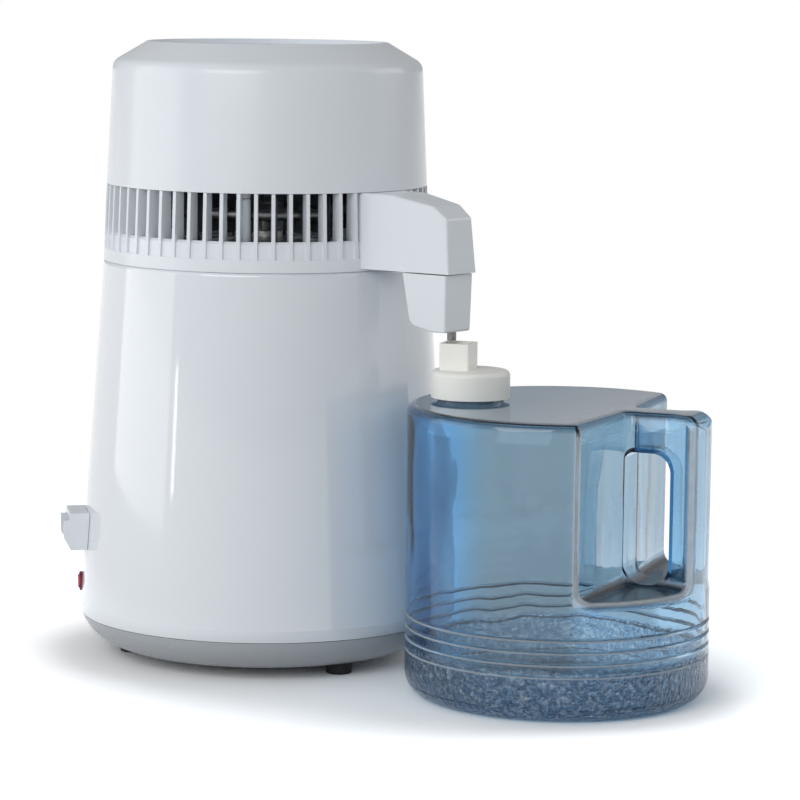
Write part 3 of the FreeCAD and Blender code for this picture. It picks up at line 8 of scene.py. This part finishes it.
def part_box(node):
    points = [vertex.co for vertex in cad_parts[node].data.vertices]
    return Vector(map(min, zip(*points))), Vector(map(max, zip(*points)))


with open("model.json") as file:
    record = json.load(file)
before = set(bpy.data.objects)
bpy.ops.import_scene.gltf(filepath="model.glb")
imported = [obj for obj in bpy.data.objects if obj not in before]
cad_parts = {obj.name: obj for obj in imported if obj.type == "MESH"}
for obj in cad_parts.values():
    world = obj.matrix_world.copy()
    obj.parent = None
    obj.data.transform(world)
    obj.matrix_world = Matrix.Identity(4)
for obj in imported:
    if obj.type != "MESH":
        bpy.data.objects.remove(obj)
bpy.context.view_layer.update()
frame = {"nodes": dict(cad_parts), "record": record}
nodes = frame["nodes"]
scene = bpy.context.scene


# ---------------------------------------------------------------- places on the object
def axis_and_radius(node):
    """Middle and half the width of the box round an upright round node."""
    low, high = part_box(node)
    return (low + high) / 2, (high.x - low.x) / 2


openings = {opening["name"]: opening["box_m"] for opening in frame["record"]["physics"]["openings"]}
BOILER_AXIS = axis_and_radius("boiler_casing")[0]
CARAFE_AXIS, CARAFE_RADIUS = axis_and_radius("carafe_body")
CARAFE_TOP = openings["near_finger_pocket"][1][2]   # the pockets are open at the drum's top
HANDLE_TURN = math.radians(11.0)                    # the handle, from +X
PAINTED_LIGHT_TURN = math.radians(213.5)                # the side next to the boiler, where a bluish light is painted
POCKET_LEFT = 0.0400            # the pockets' left wall at the drum, from the axis towards the handle
POCKET_LOW = 0.0703             # the pockets' floor
GROOVE_LOW = 0.0280             # middle of the lowest groove round the drum
GROOVE_PITCH = 0.0070
GROOVE_COUNT = 4


# ---------------------------------------------------------------- node helpers
def new_material(name):
    material = bpy.data.materials.new(name)
    material.use_nodes = True
    material.node_tree.nodes.clear()
    return material


class Graph:
    """Short names for adding nodes to one node tree."""

    def __init__(self, tree):
        self.tree = tree

    def feed(self, socket, value):
        """Links a socket's value, or sets a plain one."""
        if isinstance(value, bpy.types.NodeSocket):
            self.tree.links.new(value, socket)
        else:
            socket.default_value = value

    def add(self, kind, values=None, **settings):
        node = self.tree.nodes.new(kind)
        for key, value in settings.items():
            setattr(node, key, value)
        for key, value in (values or {}).items():
            self.feed(node.inputs[key], value)
        return node

    def place(self):
        return self.add("ShaderNodeTexCoord").outputs["Object"]

    def stretched(self, scale):
        return self.add("ShaderNodeMapping", {"Vector": self.place(), "Scale": scale}).outputs[0]

    def noise(self, scale, detail=2.0, roughness=0.5, vector=None):
        values = {"Scale": scale, "Detail": detail, "Roughness": roughness}
        values["Vector"] = vector or self.place()
        return self.add("ShaderNodeTexNoise", values).outputs["Fac"]

    def between(self, value, low, high, from_low=0.0, from_high=1.0, smooth=False):
        """From low to high while the value goes from from_low to from_high."""
        kind = "SMOOTHSTEP" if smooth else "LINEAR"
        values = {"Value": value, "From Min": from_low, "From Max": from_high, "To Min": low, "To Max": high}
        return self.add("ShaderNodeMapRange", values, interpolation_type=kind).outputs["Result"]

    def rise(self, value, start, end, smooth=False):
        return self.between(value, 0.0, 1.0, start, end, smooth)

    def fall(self, value, start, end, smooth=False):
        return self.between(value, 1.0, 0.0, start, end, smooth)

    def math(self, kind, *values):
        return self.add("ShaderNodeMath", dict(enumerate(values)), operation=kind).outputs[0]

    def chain(self, kind, values):
        result = values[0]
        for value in values[1:]:
            result = self.math(kind, result, value)
        return result

    def product(self, *values):
        return self.chain("MULTIPLY", values)

    def largest(self, *values):
        return self.chain("MAXIMUM", values)

    def length(self, a, b):
        return self.math("SQRT", self.math("ADD", self.product(a, a), self.product(b, b)))

    def mix(self, share, a, b):
        return self.add("ShaderNodeMix", {0: share, 6: a, 7: b}, data_type="RGBA").outputs[2]

    def mix_shaders(self, share, a, b):
        return self.add("ShaderNodeMixShader", {0: share, 1: a, 2: b}).outputs[0]

    def bump(self, height, strength, distance, normal=None):
        values = {"Height": height, "Strength": strength, "Distance": distance}
        if normal is not None:
            values["Normal"] = normal
        return self.add("ShaderNodeBump", values).outputs["Normal"]

    def principled(self, values):
        return self.add("ShaderNodeBsdfPrincipled", values).outputs[0]

    def out(self, surface):
        self.add("ShaderNodeOutputMaterial", {"Surface": surface})


def rgba(r, g, b):
    return (r, g, b, 1.0)


def shade(colour, factor):
    return rgba(colour[0] * factor, colour[1] * factor, colour[2] * factor)


# ---------------------------------------------------------------- opaque materials
def moulded(name, colour, rough=(0.22, 0.32), coat=0.0, grain=900.0, grain_height=0.00001, spread=0.03):
    """Moulded plastic or enamel: faint tone drift, uneven gloss and a fine surface grain."""
    material = new_material(name)
    g = Graph(material.node_tree)
    drift = g.noise(9.0, 3.0)
    gloss = g.between(g.noise(55.0, 4.0), *rough, 0.3, 0.7)
    wave = g.bump(g.noise(28.0, 1.0), strength=0.25, distance=0.00006)
    g.out(g.principled({
        "Base Color": g.mix(drift, shade(colour, 1.0 - spread), shade(colour, 1.0 + spread * 0.5)),
        "Roughness": gloss, "IOR": 1.49, "Coat Weight": coat, "Coat Roughness": 0.05,
        "Normal": g.bump(g.noise(grain), strength=0.5, distance=grain_height, normal=wave)}))
    return material


def metal(name, colour, rough=(0.3, 0.5), brush=(20.0, 20.0, 20.0)):
    """Metal with streaks that run along the directions in which brush is smallest."""
    material = new_material(name)
    g = Graph(material.node_tree)
    streak = g.noise(30.0, 5.0, 0.6, g.stretched(brush))
    g.out(g.principled({
        "Base Color": g.mix(streak, shade(colour, 0.82), shade(colour, 1.08)),
        "Roughness": g.between(streak, *rough), "Metallic": 1.0,
        "Normal": g.bump(streak, strength=0.15, distance=0.00005)}))
    return material


def matte(name, colour, rough=(0.55, 0.8), grain=700.0, grain_height=0.00005, spread=0.15):
    """Rubber, phenolic and cloth-like surfaces."""
    material = new_material(name)
    g = Graph(material.node_tree)
    patch = g.noise(60.0, 4.0)
    g.out(g.principled({
        "Base Color": g.mix(patch, shade(colour, 1.0 - spread), shade(colour, 1.0 + spread)),
        "Roughness": g.between(patch, *rough),
        "Normal": g.bump(g.noise(grain, 3.0), strength=0.4, distance=grain_height)}))
    return material


# ---------------------------------------------------------------- the carafe's clear plastic
PLASTIC_IOR = 1.46
SHADOW_TINT = rgba(0.86, 0.79, 0.74)
DEPTH_TINT = rgba(0.21, 0.58, 0.76)
DEPTH_DENSITY = 190.0
DRUM_DEEP = rgba(0.57, 0.61, 0.64)
DRUM_PALE = rgba(0.62, 0.66, 0.69)
# painted shade: the drum darkens towards its foot, standing in for the floor's shadow seen through it
DRUM_LOWER_PAINTED_SHADE = rgba(0.50, 0.54, 0.57)
# painted light: a bluish cast on the side next to the boiler
BLUE_PAINTED_LIGHT = rgba(0.40, 0.70, 0.94)
HANDLE_SIDE = rgba(0.80, 0.87, 0.93)
GROOVE_SHADE = rgba(0.16, 0.26, 0.36)
FOOT_DARK = rgba(0.32, 0.45, 0.60)
FOOT_SPECK = rgba(1.0, 1.0, 1.0)
# painted shade: a darker band just under the rounded rim
RIM_BAND_PAINTED_SHADE = rgba(0.26, 0.34, 0.42)
# painted reflection: the flat top greyed as if mirroring something dark
TOP_PAINTED_REFLECTION = rgba(0.44, 0.47, 0.50)
# painted shade on the pocket floors
POCKET_FLOOR_PAINTED_SHADE = rgba(0.10, 0.17, 0.25)
PALE_GRIT_AND_HIGHLIGHT = rgba(0.82, 0.90, 0.97)           # the pale opaque layer: real grit on the foot band, and painted highlights on the pocket edges and groove crests
# the pale layer's colour on the top: scuff haze, and a painted highlight towards the handle
TOP_SCUFF_AND_SHEEN = rgba(0.74, 0.78, 0.82)
# a near-black sheet painted on the pocket floors as shade
POCKET_FLOOR_SHADE_SHEET = rgba(0.012, 0.022, 0.034)


class OnCarafe:
    """Node outputs that say where on the carafe a point lies, in metres, with soft masks of its regions."""

    def __init__(self, g):
        split = g.add("ShaderNodeSeparateXYZ", {"Vector": g.place()}).outputs
        across = g.math("SUBTRACT", split["X"], CARAFE_AXIS.x)
        along = g.math("SUBTRACT", split["Y"], CARAFE_AXIS.y)

        def towards(turn):
            return g.math("ADD", g.product(across, math.cos(turn)), g.product(along, math.sin(turn)))

        self.height = split["Z"]
        self.radius = g.length(across, along)
        self.to_handle = towards(HANDLE_TURN)
        self.off_web = g.math("ABSOLUTE", towards(HANDLE_TURN + math.pi / 2))
        self.to_painted_light = towards(PAINTED_LIGHT_TURN)

        self.foot = g.fall(self.height, 0.027, 0.033, True)
        self.shoulder = g.rise(self.height, CARAFE_TOP - 0.006, CARAFE_TOP - 0.002, True)
        self.flat_top = g.rise(self.height, CARAFE_TOP - 0.0009, CARAFE_TOP - 0.0003, True)
        self.ledge = self.ledge_mask(g)
        self.mouth = self.mouth_mask(g)
        self.groove_shade, self.groove_highlight = self.groove_masks(g)

    def ledge_mask(self, g):
        """The floor of the finger pockets, where shade is painted."""
        return g.product(
            g.rise(self.height, POCKET_LOW - 0.0015, POCKET_LOW - 0.0005),
            g.fall(self.height, POCKET_LOW + 0.001, POCKET_LOW + 0.006, True),
            g.fall(self.radius, CARAFE_RADIUS - 0.005, CARAFE_RADIUS - 0.003),
            g.rise(self.to_handle, POCKET_LEFT - 0.001, POCKET_LEFT))

    def mouth_mask(self, g):
        """The pockets' rounded edges in the drum, where a pale highlight is painted, fainter where the
        handle's web meets them.
        """
        left = g.math("MAXIMUM", g.math("SUBTRACT", POCKET_LEFT, self.to_handle), 0.0)
        below = g.math("MAXIMUM", g.math("SUBTRACT", POCKET_LOW, self.height), 0.0)
        return g.product(
            g.fall(g.length(left, below), 0.0009, 0.0029, True),
            g.rise(self.radius, CARAFE_RADIUS - 0.0045, CARAFE_RADIUS - 0.003),
            g.fall(self.height, CARAFE_TOP - 0.008, CARAFE_TOP - 0.004),
            g.between(self.off_web, 0.35, 1.0, 0.0115, 0.0150, True))

    def groove_masks(self, g):
        """The upper side of each groove round the drum, where shade is painted, and its lower side up to the
        crest, where a highlight is painted.
        """
        half = GROOVE_PITCH / 2
        low = GROOVE_LOW - half
        high = low + GROOVE_COUNT * GROOVE_PITCH
        phase = g.math("MODULO", g.math("SUBTRACT", self.height, low), GROOVE_PITCH)
        near = g.product(
            g.rise(self.height, low, low + 0.0002),
            g.fall(self.height, high - 0.0002, high),
            g.rise(self.radius, CARAFE_RADIUS - 0.0015, CARAFE_RADIUS - 0.001))
        over = g.product(
            g.rise(phase, half - 0.0002, half + 0.0001),
            g.fall(phase, half + 0.0009, half + 0.0014))
        under = g.product(
            g.rise(phase, half - 0.0015, half - 0.0010),
            g.fall(phase, half - 0.0004, half - 0.0001))
        return g.product(near, over), g.product(near, under)


def carafe_normal(g, at, grains):
    """Waves in the drum's inner wall and the grain of the foot band."""
    inside = g.product(
        g.fall(at.radius, CARAFE_RADIUS - 0.0014, CARAFE_RADIUS - 0.0010),
        g.fall(at.height, CARAFE_TOP - 0.012, CARAFE_TOP - 0.004))
    swell = g.noise(26.0, 1.5, 0.45, g.stretched((1.0, 1.0, 0.45)))
    wavy = g.bump(g.product(swell, inside), strength=0.8, distance=0.0030)
    return g.bump(g.product(grains, at.foot), strength=1.0, distance=0.0018, normal=wavy)


def carafe_roughness(g, at):
    stains = g.rise(g.noise(95.0, 4.0, 0.7), 0.58, 0.74, True)
    fields = g.rise(g.noise(17.0, 2.0, 0.5), 0.50, 0.70, True)
    return g.math("ADD", g.between(at.foot, 0.012, 0.09), g.product(stains, fields, 0.10))


def carafe_tone(g, at, speckle):
    """The tint of the surface, from region to region, with painted shade low on the drum, in the grooves,
    under the rim and on the pocket floors, a painted bluish light on the side next to the boiler and a
    painted reflection on the flat top.
    """
    tone = g.mix(g.noise(14.0, 2.0), DRUM_DEEP, DRUM_PALE)
    # painted shade low on the drum
    tone = g.mix(g.rise(at.height, 0.060, 0.130, True), DRUM_LOWER_PAINTED_SHADE, tone)
    # painted bluish light on the side next to the boiler
    tone = g.mix(g.rise(at.to_painted_light, 0.034, 0.082, True), tone, BLUE_PAINTED_LIGHT)
    tone = g.mix(g.rise(at.to_handle, 0.034, 0.044, True), tone, HANDLE_SIDE)
    tone = g.mix(at.groove_shade, tone, GROOVE_SHADE)
    tone = g.mix(at.foot, tone, g.mix(speckle, FOOT_DARK, FOOT_SPECK))
    # painted shade under the rim
    tone = g.mix(at.shoulder, tone, RIM_BAND_PAINTED_SHADE)
    # painted reflection on the flat top
    tone = g.mix(at.flat_top, tone, TOP_PAINTED_REFLECTION)
    # painted shade on the pocket floors
    return g.mix(at.ledge, tone, POCKET_FLOOR_PAINTED_SHADE)


def carafe_pale_share(g, at, speckle):
    """How much of the surface is pale instead of clear: grit on the foot band, scuff haze on the top,
    painted highlights on the pocket edges, the groove crests and the top towards the handle, and painted
    shade on the pocket floors.
    """
    # painted highlight along the pocket edges
    mouth_highlight = g.product(at.mouth, g.between(g.noise(140.0, 3.0, 0.6), 0.35, 0.60))
    # painted highlight: the top turns paler towards the handle, over a haze of scuffs
    painted_sheen = g.between(at.to_handle, 0.15, 1.0, -0.03, 0.05)
    scuff_haze_and_sheen = g.product(at.flat_top, painted_sheen, g.between(g.noise(60.0, 4.0, 0.7), 0.30, 0.75))
    grit = g.product(at.foot, speckle, 0.10)
    # painted highlight on the lower side of each groove
    crest = g.product(at.groove_highlight, 0.30)
    # the pocket floors are mostly covered by the painted shade sheet
    return g.largest(mouth_highlight, scuff_haze_and_sheen, g.product(at.ledge, 0.88), grit, crest)


def clear_plastic(name):
    """Clear plastic tinted in its depth, with uneven inner walls and a mottled band near the foot."""
    material = new_material(name)
    g = Graph(material.node_tree)
    at = OnCarafe(g)
    grains = g.noise(360.0, 2.5, 0.6)
    speckle = g.rise(grains, 0.50, 0.60, True)
    clear = g.principled({
        "Base Color": carafe_tone(g, at, speckle), "Roughness": carafe_roughness(g, at), "IOR": PLASTIC_IOR,
        "Transmission Weight": 1.0, "Normal": carafe_normal(g, at, grains)})
    # pale layer colour: a painted shade sheet on the pocket floors, and grit, scuff haze and painted
    # highlights elsewhere
    skin = g.mix(at.ledge, g.mix(at.shoulder, PALE_GRIT_AND_HIGHLIGHT, TOP_SCUFF_AND_SHEEN), POCKET_FLOOR_SHADE_SHEET)
    pale = g.principled({"Base Color": skin, "Roughness": 0.22, "IOR": PLASTIC_IOR})
    surface = g.mix_shaders(carafe_pale_share(g, at, speckle), clear, pale)
    in_shadow = g.add("ShaderNodeLightPath").outputs["Is Shadow Ray"]
    ghost = g.add("ShaderNodeBsdfTransparent", {"Color": SHADOW_TINT}).outputs[0]
    depth = g.add("ShaderNodeVolumeAbsorption", {"Color": DEPTH_TINT, "Density": DEPTH_DENSITY}).outputs[0]
    g.add("ShaderNodeOutputMaterial", {"Surface": g.mix_shaders(in_shadow, surface, ghost), "Volume": depth})
    return material


# ---------------------------------------------------------------- a look for each material slot
WHITE = rgba(0.76, 0.80, 0.845)
materials = {
    "enamelled_steel": moulded("gloss_enamel", WHITE, rough=(0.06, 0.12), coat=0.6, grain=650.0,
                               grain_height=0.000008, spread=0.02),
    "white_plastic": moulded("gloss_white_plastic", WHITE, rough=(0.14, 0.24), grain=1100.0,
                             grain_height=0.000008, spread=0.02),
    # painted shade: the base pan is the white plastic greyed to show it in shade
    "pan_plastic": moulded("white_plastic_painted_shade", rgba(0.44, 0.47, 0.50), rough=(0.16, 0.28), grain=1100.0,
                           grain_height=0.000008),
    "cap_plastic": moulded("satin_cap_plastic", rgba(0.90, 0.90, 0.85), rough=(0.38, 0.5), grain=1500.0,
                           grain_height=0.00002),
    "winding_tape": moulded("winding_tape", rgba(0.60, 0.46, 0.10), rough=(0.3, 0.5), grain=300.0,
                            grain_height=0.00004, spread=0.1),
    "button_trim": moulded("dark_red_trim", rgba(0.16, 0.012, 0.028), rough=(0.3, 0.4),
                           grain_height=0.00002, spread=0.08),
    "button_red": moulded("red_button", rgba(0.50, 0.07, 0.09), rough=(0.25, 0.35),
                          grain_height=0.00002, spread=0.08),
    "carafe_plastic": clear_plastic("clear_blue_plastic"),
    "stainless": metal("brushed_stainless", rgba(0.76, 0.76, 0.75), rough=(0.25, 0.4),
                       brush=(1.0, 1.0, 60.0)),
    "fasteners": metal("zinc_plated", rgba(0.55, 0.55, 0.56)),
    "cast_aluminium": metal("mill_aluminium", rgba(0.60, 0.61, 0.62), brush=(30.0, 30.0, 2.0)),
    "motor_steel": metal("motor_laminations", rgba(0.30, 0.30, 0.31), rough=(0.4, 0.6),
                         brush=(1.0, 1.0, 80.0)),
    "heater_sheath": metal("annealed_sheath", rgba(0.20, 0.19, 0.18), rough=(0.45, 0.6)),
    # painted shade: darkened steel for the stainless nozzle and condenser coil, which sit in shade
    "dark_steel": metal("steel_painted_shade", rgba(0.22, 0.225, 0.23), rough=(0.30, 0.45),
                        brush=(20.0, 20.0, 1.0)),
    "brass_pins": metal("bare_brass", rgba(0.70, 0.52, 0.24), rough=(0.25, 0.4)),
    "fan_plastic": matte("fan_plastic", rgba(0.42, 0.48, 0.54), rough=(0.35, 0.5), grain=900.0,
                         grain_height=0.00002, spread=0.05),
    "black_rubber": matte("black_rubber", rgba(0.012, 0.012, 0.013)),
    "silicone": matte("white_silicone", rgba(0.72, 0.72, 0.70), rough=(0.4, 0.55), grain=500.0,
                      grain_height=0.00003, spread=0.05),
    "thermal_parts": matte("phenolic", rgba(0.035, 0.03, 0.028), rough=(0.45, 0.6)),
    # painted shade: the fins inside the head are made black to stand for the shade there
    "black_coating": matte("black_coating", rgba(0.075, 0.085, 0.10), rough=(0.4, 0.6), grain=600.0,
                           grain_height=0.00003, spread=0.2),
    "lead_sleeve": matte("silicone_sleeve", rgba(0.62, 0.60, 0.55), rough=(0.5, 0.65)),
    "charcoal_cloth": matte("sachet_cloth", rgba(0.72, 0.72, 0.70), rough=(0.8, 0.95), grain=2500.0,
                            grain_height=0.0002, spread=0.08),
}
slot_of = {entry["node"]: entry["material_slot"] for entry in frame["record"]["subparts"]}
# painted shade: the nozzle and condenser coil take the darkened steel and the fins the black, for the shade
# they sit in
slot_of.update({
    "outlet_nozzle": "dark_steel",
    "condenser_coil": "dark_steel",
    "cooling_fins": "black_coating"})
for name, node in nodes.items():
    look = materials[slot_of[name]]
    for slot in node.material_slots:
        slot.material = look


# ---------------------------------------------------------------- floor and surroundings
FLOOR_HALF = 40.0
SEEN_LEVEL = 2.6                # the floor's colour where it is seen, away from the object
SHADE_NEAR = 1.3                # and close under it
SHADE_REACH = 0.30              # how far from the object the floor's shade is looked for
SHADE_FULL = 0.60               # openness at which the shade is full
SHADE_GONE = 0.90               # and at which it is gone
WHITE_START = 0.40              # the floor turns plain white between these distances from the origin
WHITE_END = 0.75
HORIZON_LEVEL = 0.46
ZENITH_LEVEL = 0.34
PLAIN_WHITE = rgba(1, 1, 1)


def is_seen(g, in_mirrors):
    """One for camera and see-through rays and, if asked, mirror rays; nought for light on the object."""
    path = g.add("ShaderNodeLightPath")
    direct = g.math("MAXIMUM", path.outputs["Is Camera Ray"], path.outputs["Is Transmission Ray"])
    if in_mirrors:
        return g.math("MAXIMUM", direct, path.outputs["Is Glossy Ray"])
    return direct


def floor_material():
    """Pale and plain for the light on the object; where it is seen, its shadow fades out to white."""
    material = new_material("pale_floor")
    g = Graph(material.node_tree)
    speck = g.mix(g.noise(3.0), rgba(0.70, 0.70, 0.70), rgba(0.72, 0.72, 0.72))
    plain = g.add("ShaderNodeBsdfDiffuse", {"Color": speck}).outputs[0]
    openness = g.add("ShaderNodeAmbientOcclusion", {"Distance": SHADE_REACH}).outputs["AO"]
    level = g.between(openness, SHADE_NEAR, SEEN_LEVEL, SHADE_FULL, SHADE_GONE, True)
    shaded = g.add("ShaderNodeBsdfDiffuse", {"Color": level}).outputs[0]
    white = g.add("ShaderNodeEmission", {"Color": PLAIN_WHITE, "Strength": 1.0}).outputs[0]
    away = g.add("ShaderNodeVectorMath", {0: g.place()}, operation="LENGTH").outputs["Value"]
    seen = g.mix_shaders(g.rise(away, WHITE_START, WHITE_END, True), shaded, white)
    g.out(g.mix_shaders(is_seen(g, True), plain, seen))
    return material


def floor():
    mesh = bpy.data.meshes.new("floor")
    half = FLOOR_HALF
    corners = [(-half, -half, 0), (half, -half, 0), (half, half, 0), (-half, half, 0)]
    mesh.from_pydata(corners, [], [(0, 1, 2, 3)])
    mesh.materials.append(floor_material())
    sheet = bpy.data.objects.new("floor", mesh)
    scene.collection.objects.link(sheet)
    return sheet


def surroundings():
    """A sky that is a little brighter at the horizon, and plain white where it is seen."""
    world = bpy.data.worlds.new("surroundings")
    scene.world = world
    world.use_nodes = True
    world.node_tree.nodes.clear()
    g = Graph(world.node_tree)
    direction = g.add("ShaderNodeTexCoord").outputs["Generated"]
    upward = g.add("ShaderNodeSeparateXYZ", {"Vector": direction}).outputs["Z"]
    level = g.between(upward, HORIZON_LEVEL, ZENITH_LEVEL, 0.0, 0.8)
    plain = g.add("ShaderNodeBackground", {"Color": rgba(0.97, 0.985, 1.0), "Strength": level}).outputs[0]
    seen = g.add("ShaderNodeBackground", {"Color": PLAIN_WHITE, "Strength": 1.0}).outputs[0]
    g.add("ShaderNodeOutputWorld", {"Surface": g.mix_shaders(is_seen(g, False), plain, seen)})


# ---------------------------------------------------------------- camera
VIEW_TURN = math.radians(33.54)         # the camera looks along +Y, turned by this to the left
CAMERA_PLACE = (1.1174, -1.6762, 0.42682)
CAMERA_PITCH = math.radians(7.412)      # downwards
CAMERA_ROLL = math.radians(0.634)
FOCAL_PIXELS = 3364.86
PICTURE_PIXELS = 800.0
SENSOR_WIDTH = 36.0


def camera():
    data = bpy.data.cameras.new("camera")
    data.sensor_width = SENSOR_WIDTH
    data.lens = FOCAL_PIXELS * SENSOR_WIDTH / PICTURE_PIXELS
    data.clip_end = 60.0
    thing = bpy.data.objects.new("camera", data)
    turn = Matrix.Rotation(VIEW_TURN, 4, "Z") @ Matrix.Rotation(math.pi / 2 - CAMERA_PITCH, 4, "X")
    turn = turn @ Matrix.Rotation(CAMERA_ROLL, 4, "Z")
    thing.matrix_world = Matrix.Translation(CAMERA_PLACE) @ turn
    scene.collection.objects.link(thing)
    scene.camera = thing


# ---------------------------------------------------------------- lamps
def lamp(name, place, target, size, power):
    """Rectangular soft box; size is its width and height in metres, power is in watts."""
    data = bpy.data.lights.new(name, "AREA")
    data.shape = "RECTANGLE"
    data.size, data.size_y = size
    data.energy = power
    thing = bpy.data.objects.new(name, data)
    thing.location = place
    thing.rotation_euler = (Vector(target) - Vector(place)).to_track_quat("-Z", "Y").to_euler()
    scene.collection.objects.link(thing)
    return thing


def from_camera(angle, distance, height):
    """A place round the object: the angle is to the right of the line towards the camera."""
    turn = VIEW_TURN + math.radians(angle)
    return (math.sin(turn) * distance, -math.cos(turn) * distance, height)


def keep_off(light, sheet):
    """The light falls on everything but the given sheet."""
    left_out = bpy.data.collections.new(light.name + "_left_out")
    left_out.objects.link(sheet)
    light.light_linking.receiver_collection = left_out
    left_out.collection_objects[0].light_linking.link_state = "EXCLUDE"


def lamps(ground):
    left_box = lamp("left_box", from_camera(angle=-88, distance=1.3, height=0.52), target=(0, 0, 0.40),
                    size=(1.1, 1.0), power=4.4)
    keep_off(left_box, ground)
    lamp("front_box", from_camera(angle=-26, distance=2.2, height=1.1), target=(0, 0, 0.24),
         size=(1.7, 1.2), power=22.5)
    lamp("right_box", from_camera(angle=105, distance=2.0, height=0.9), target=(0, 0, 0.18),
         size=(1.3, 1.0), power=6.5)
    lamp("edge_strip", from_camera(angle=-61, distance=1.25, height=0.13), target=(BOILER_AXIS.x, 0, 0.13),
         size=(0.04, 0.12), power=0.10)


surroundings()
lamps(floor())
camera()
scene.view_settings.view_transform = "Standard"
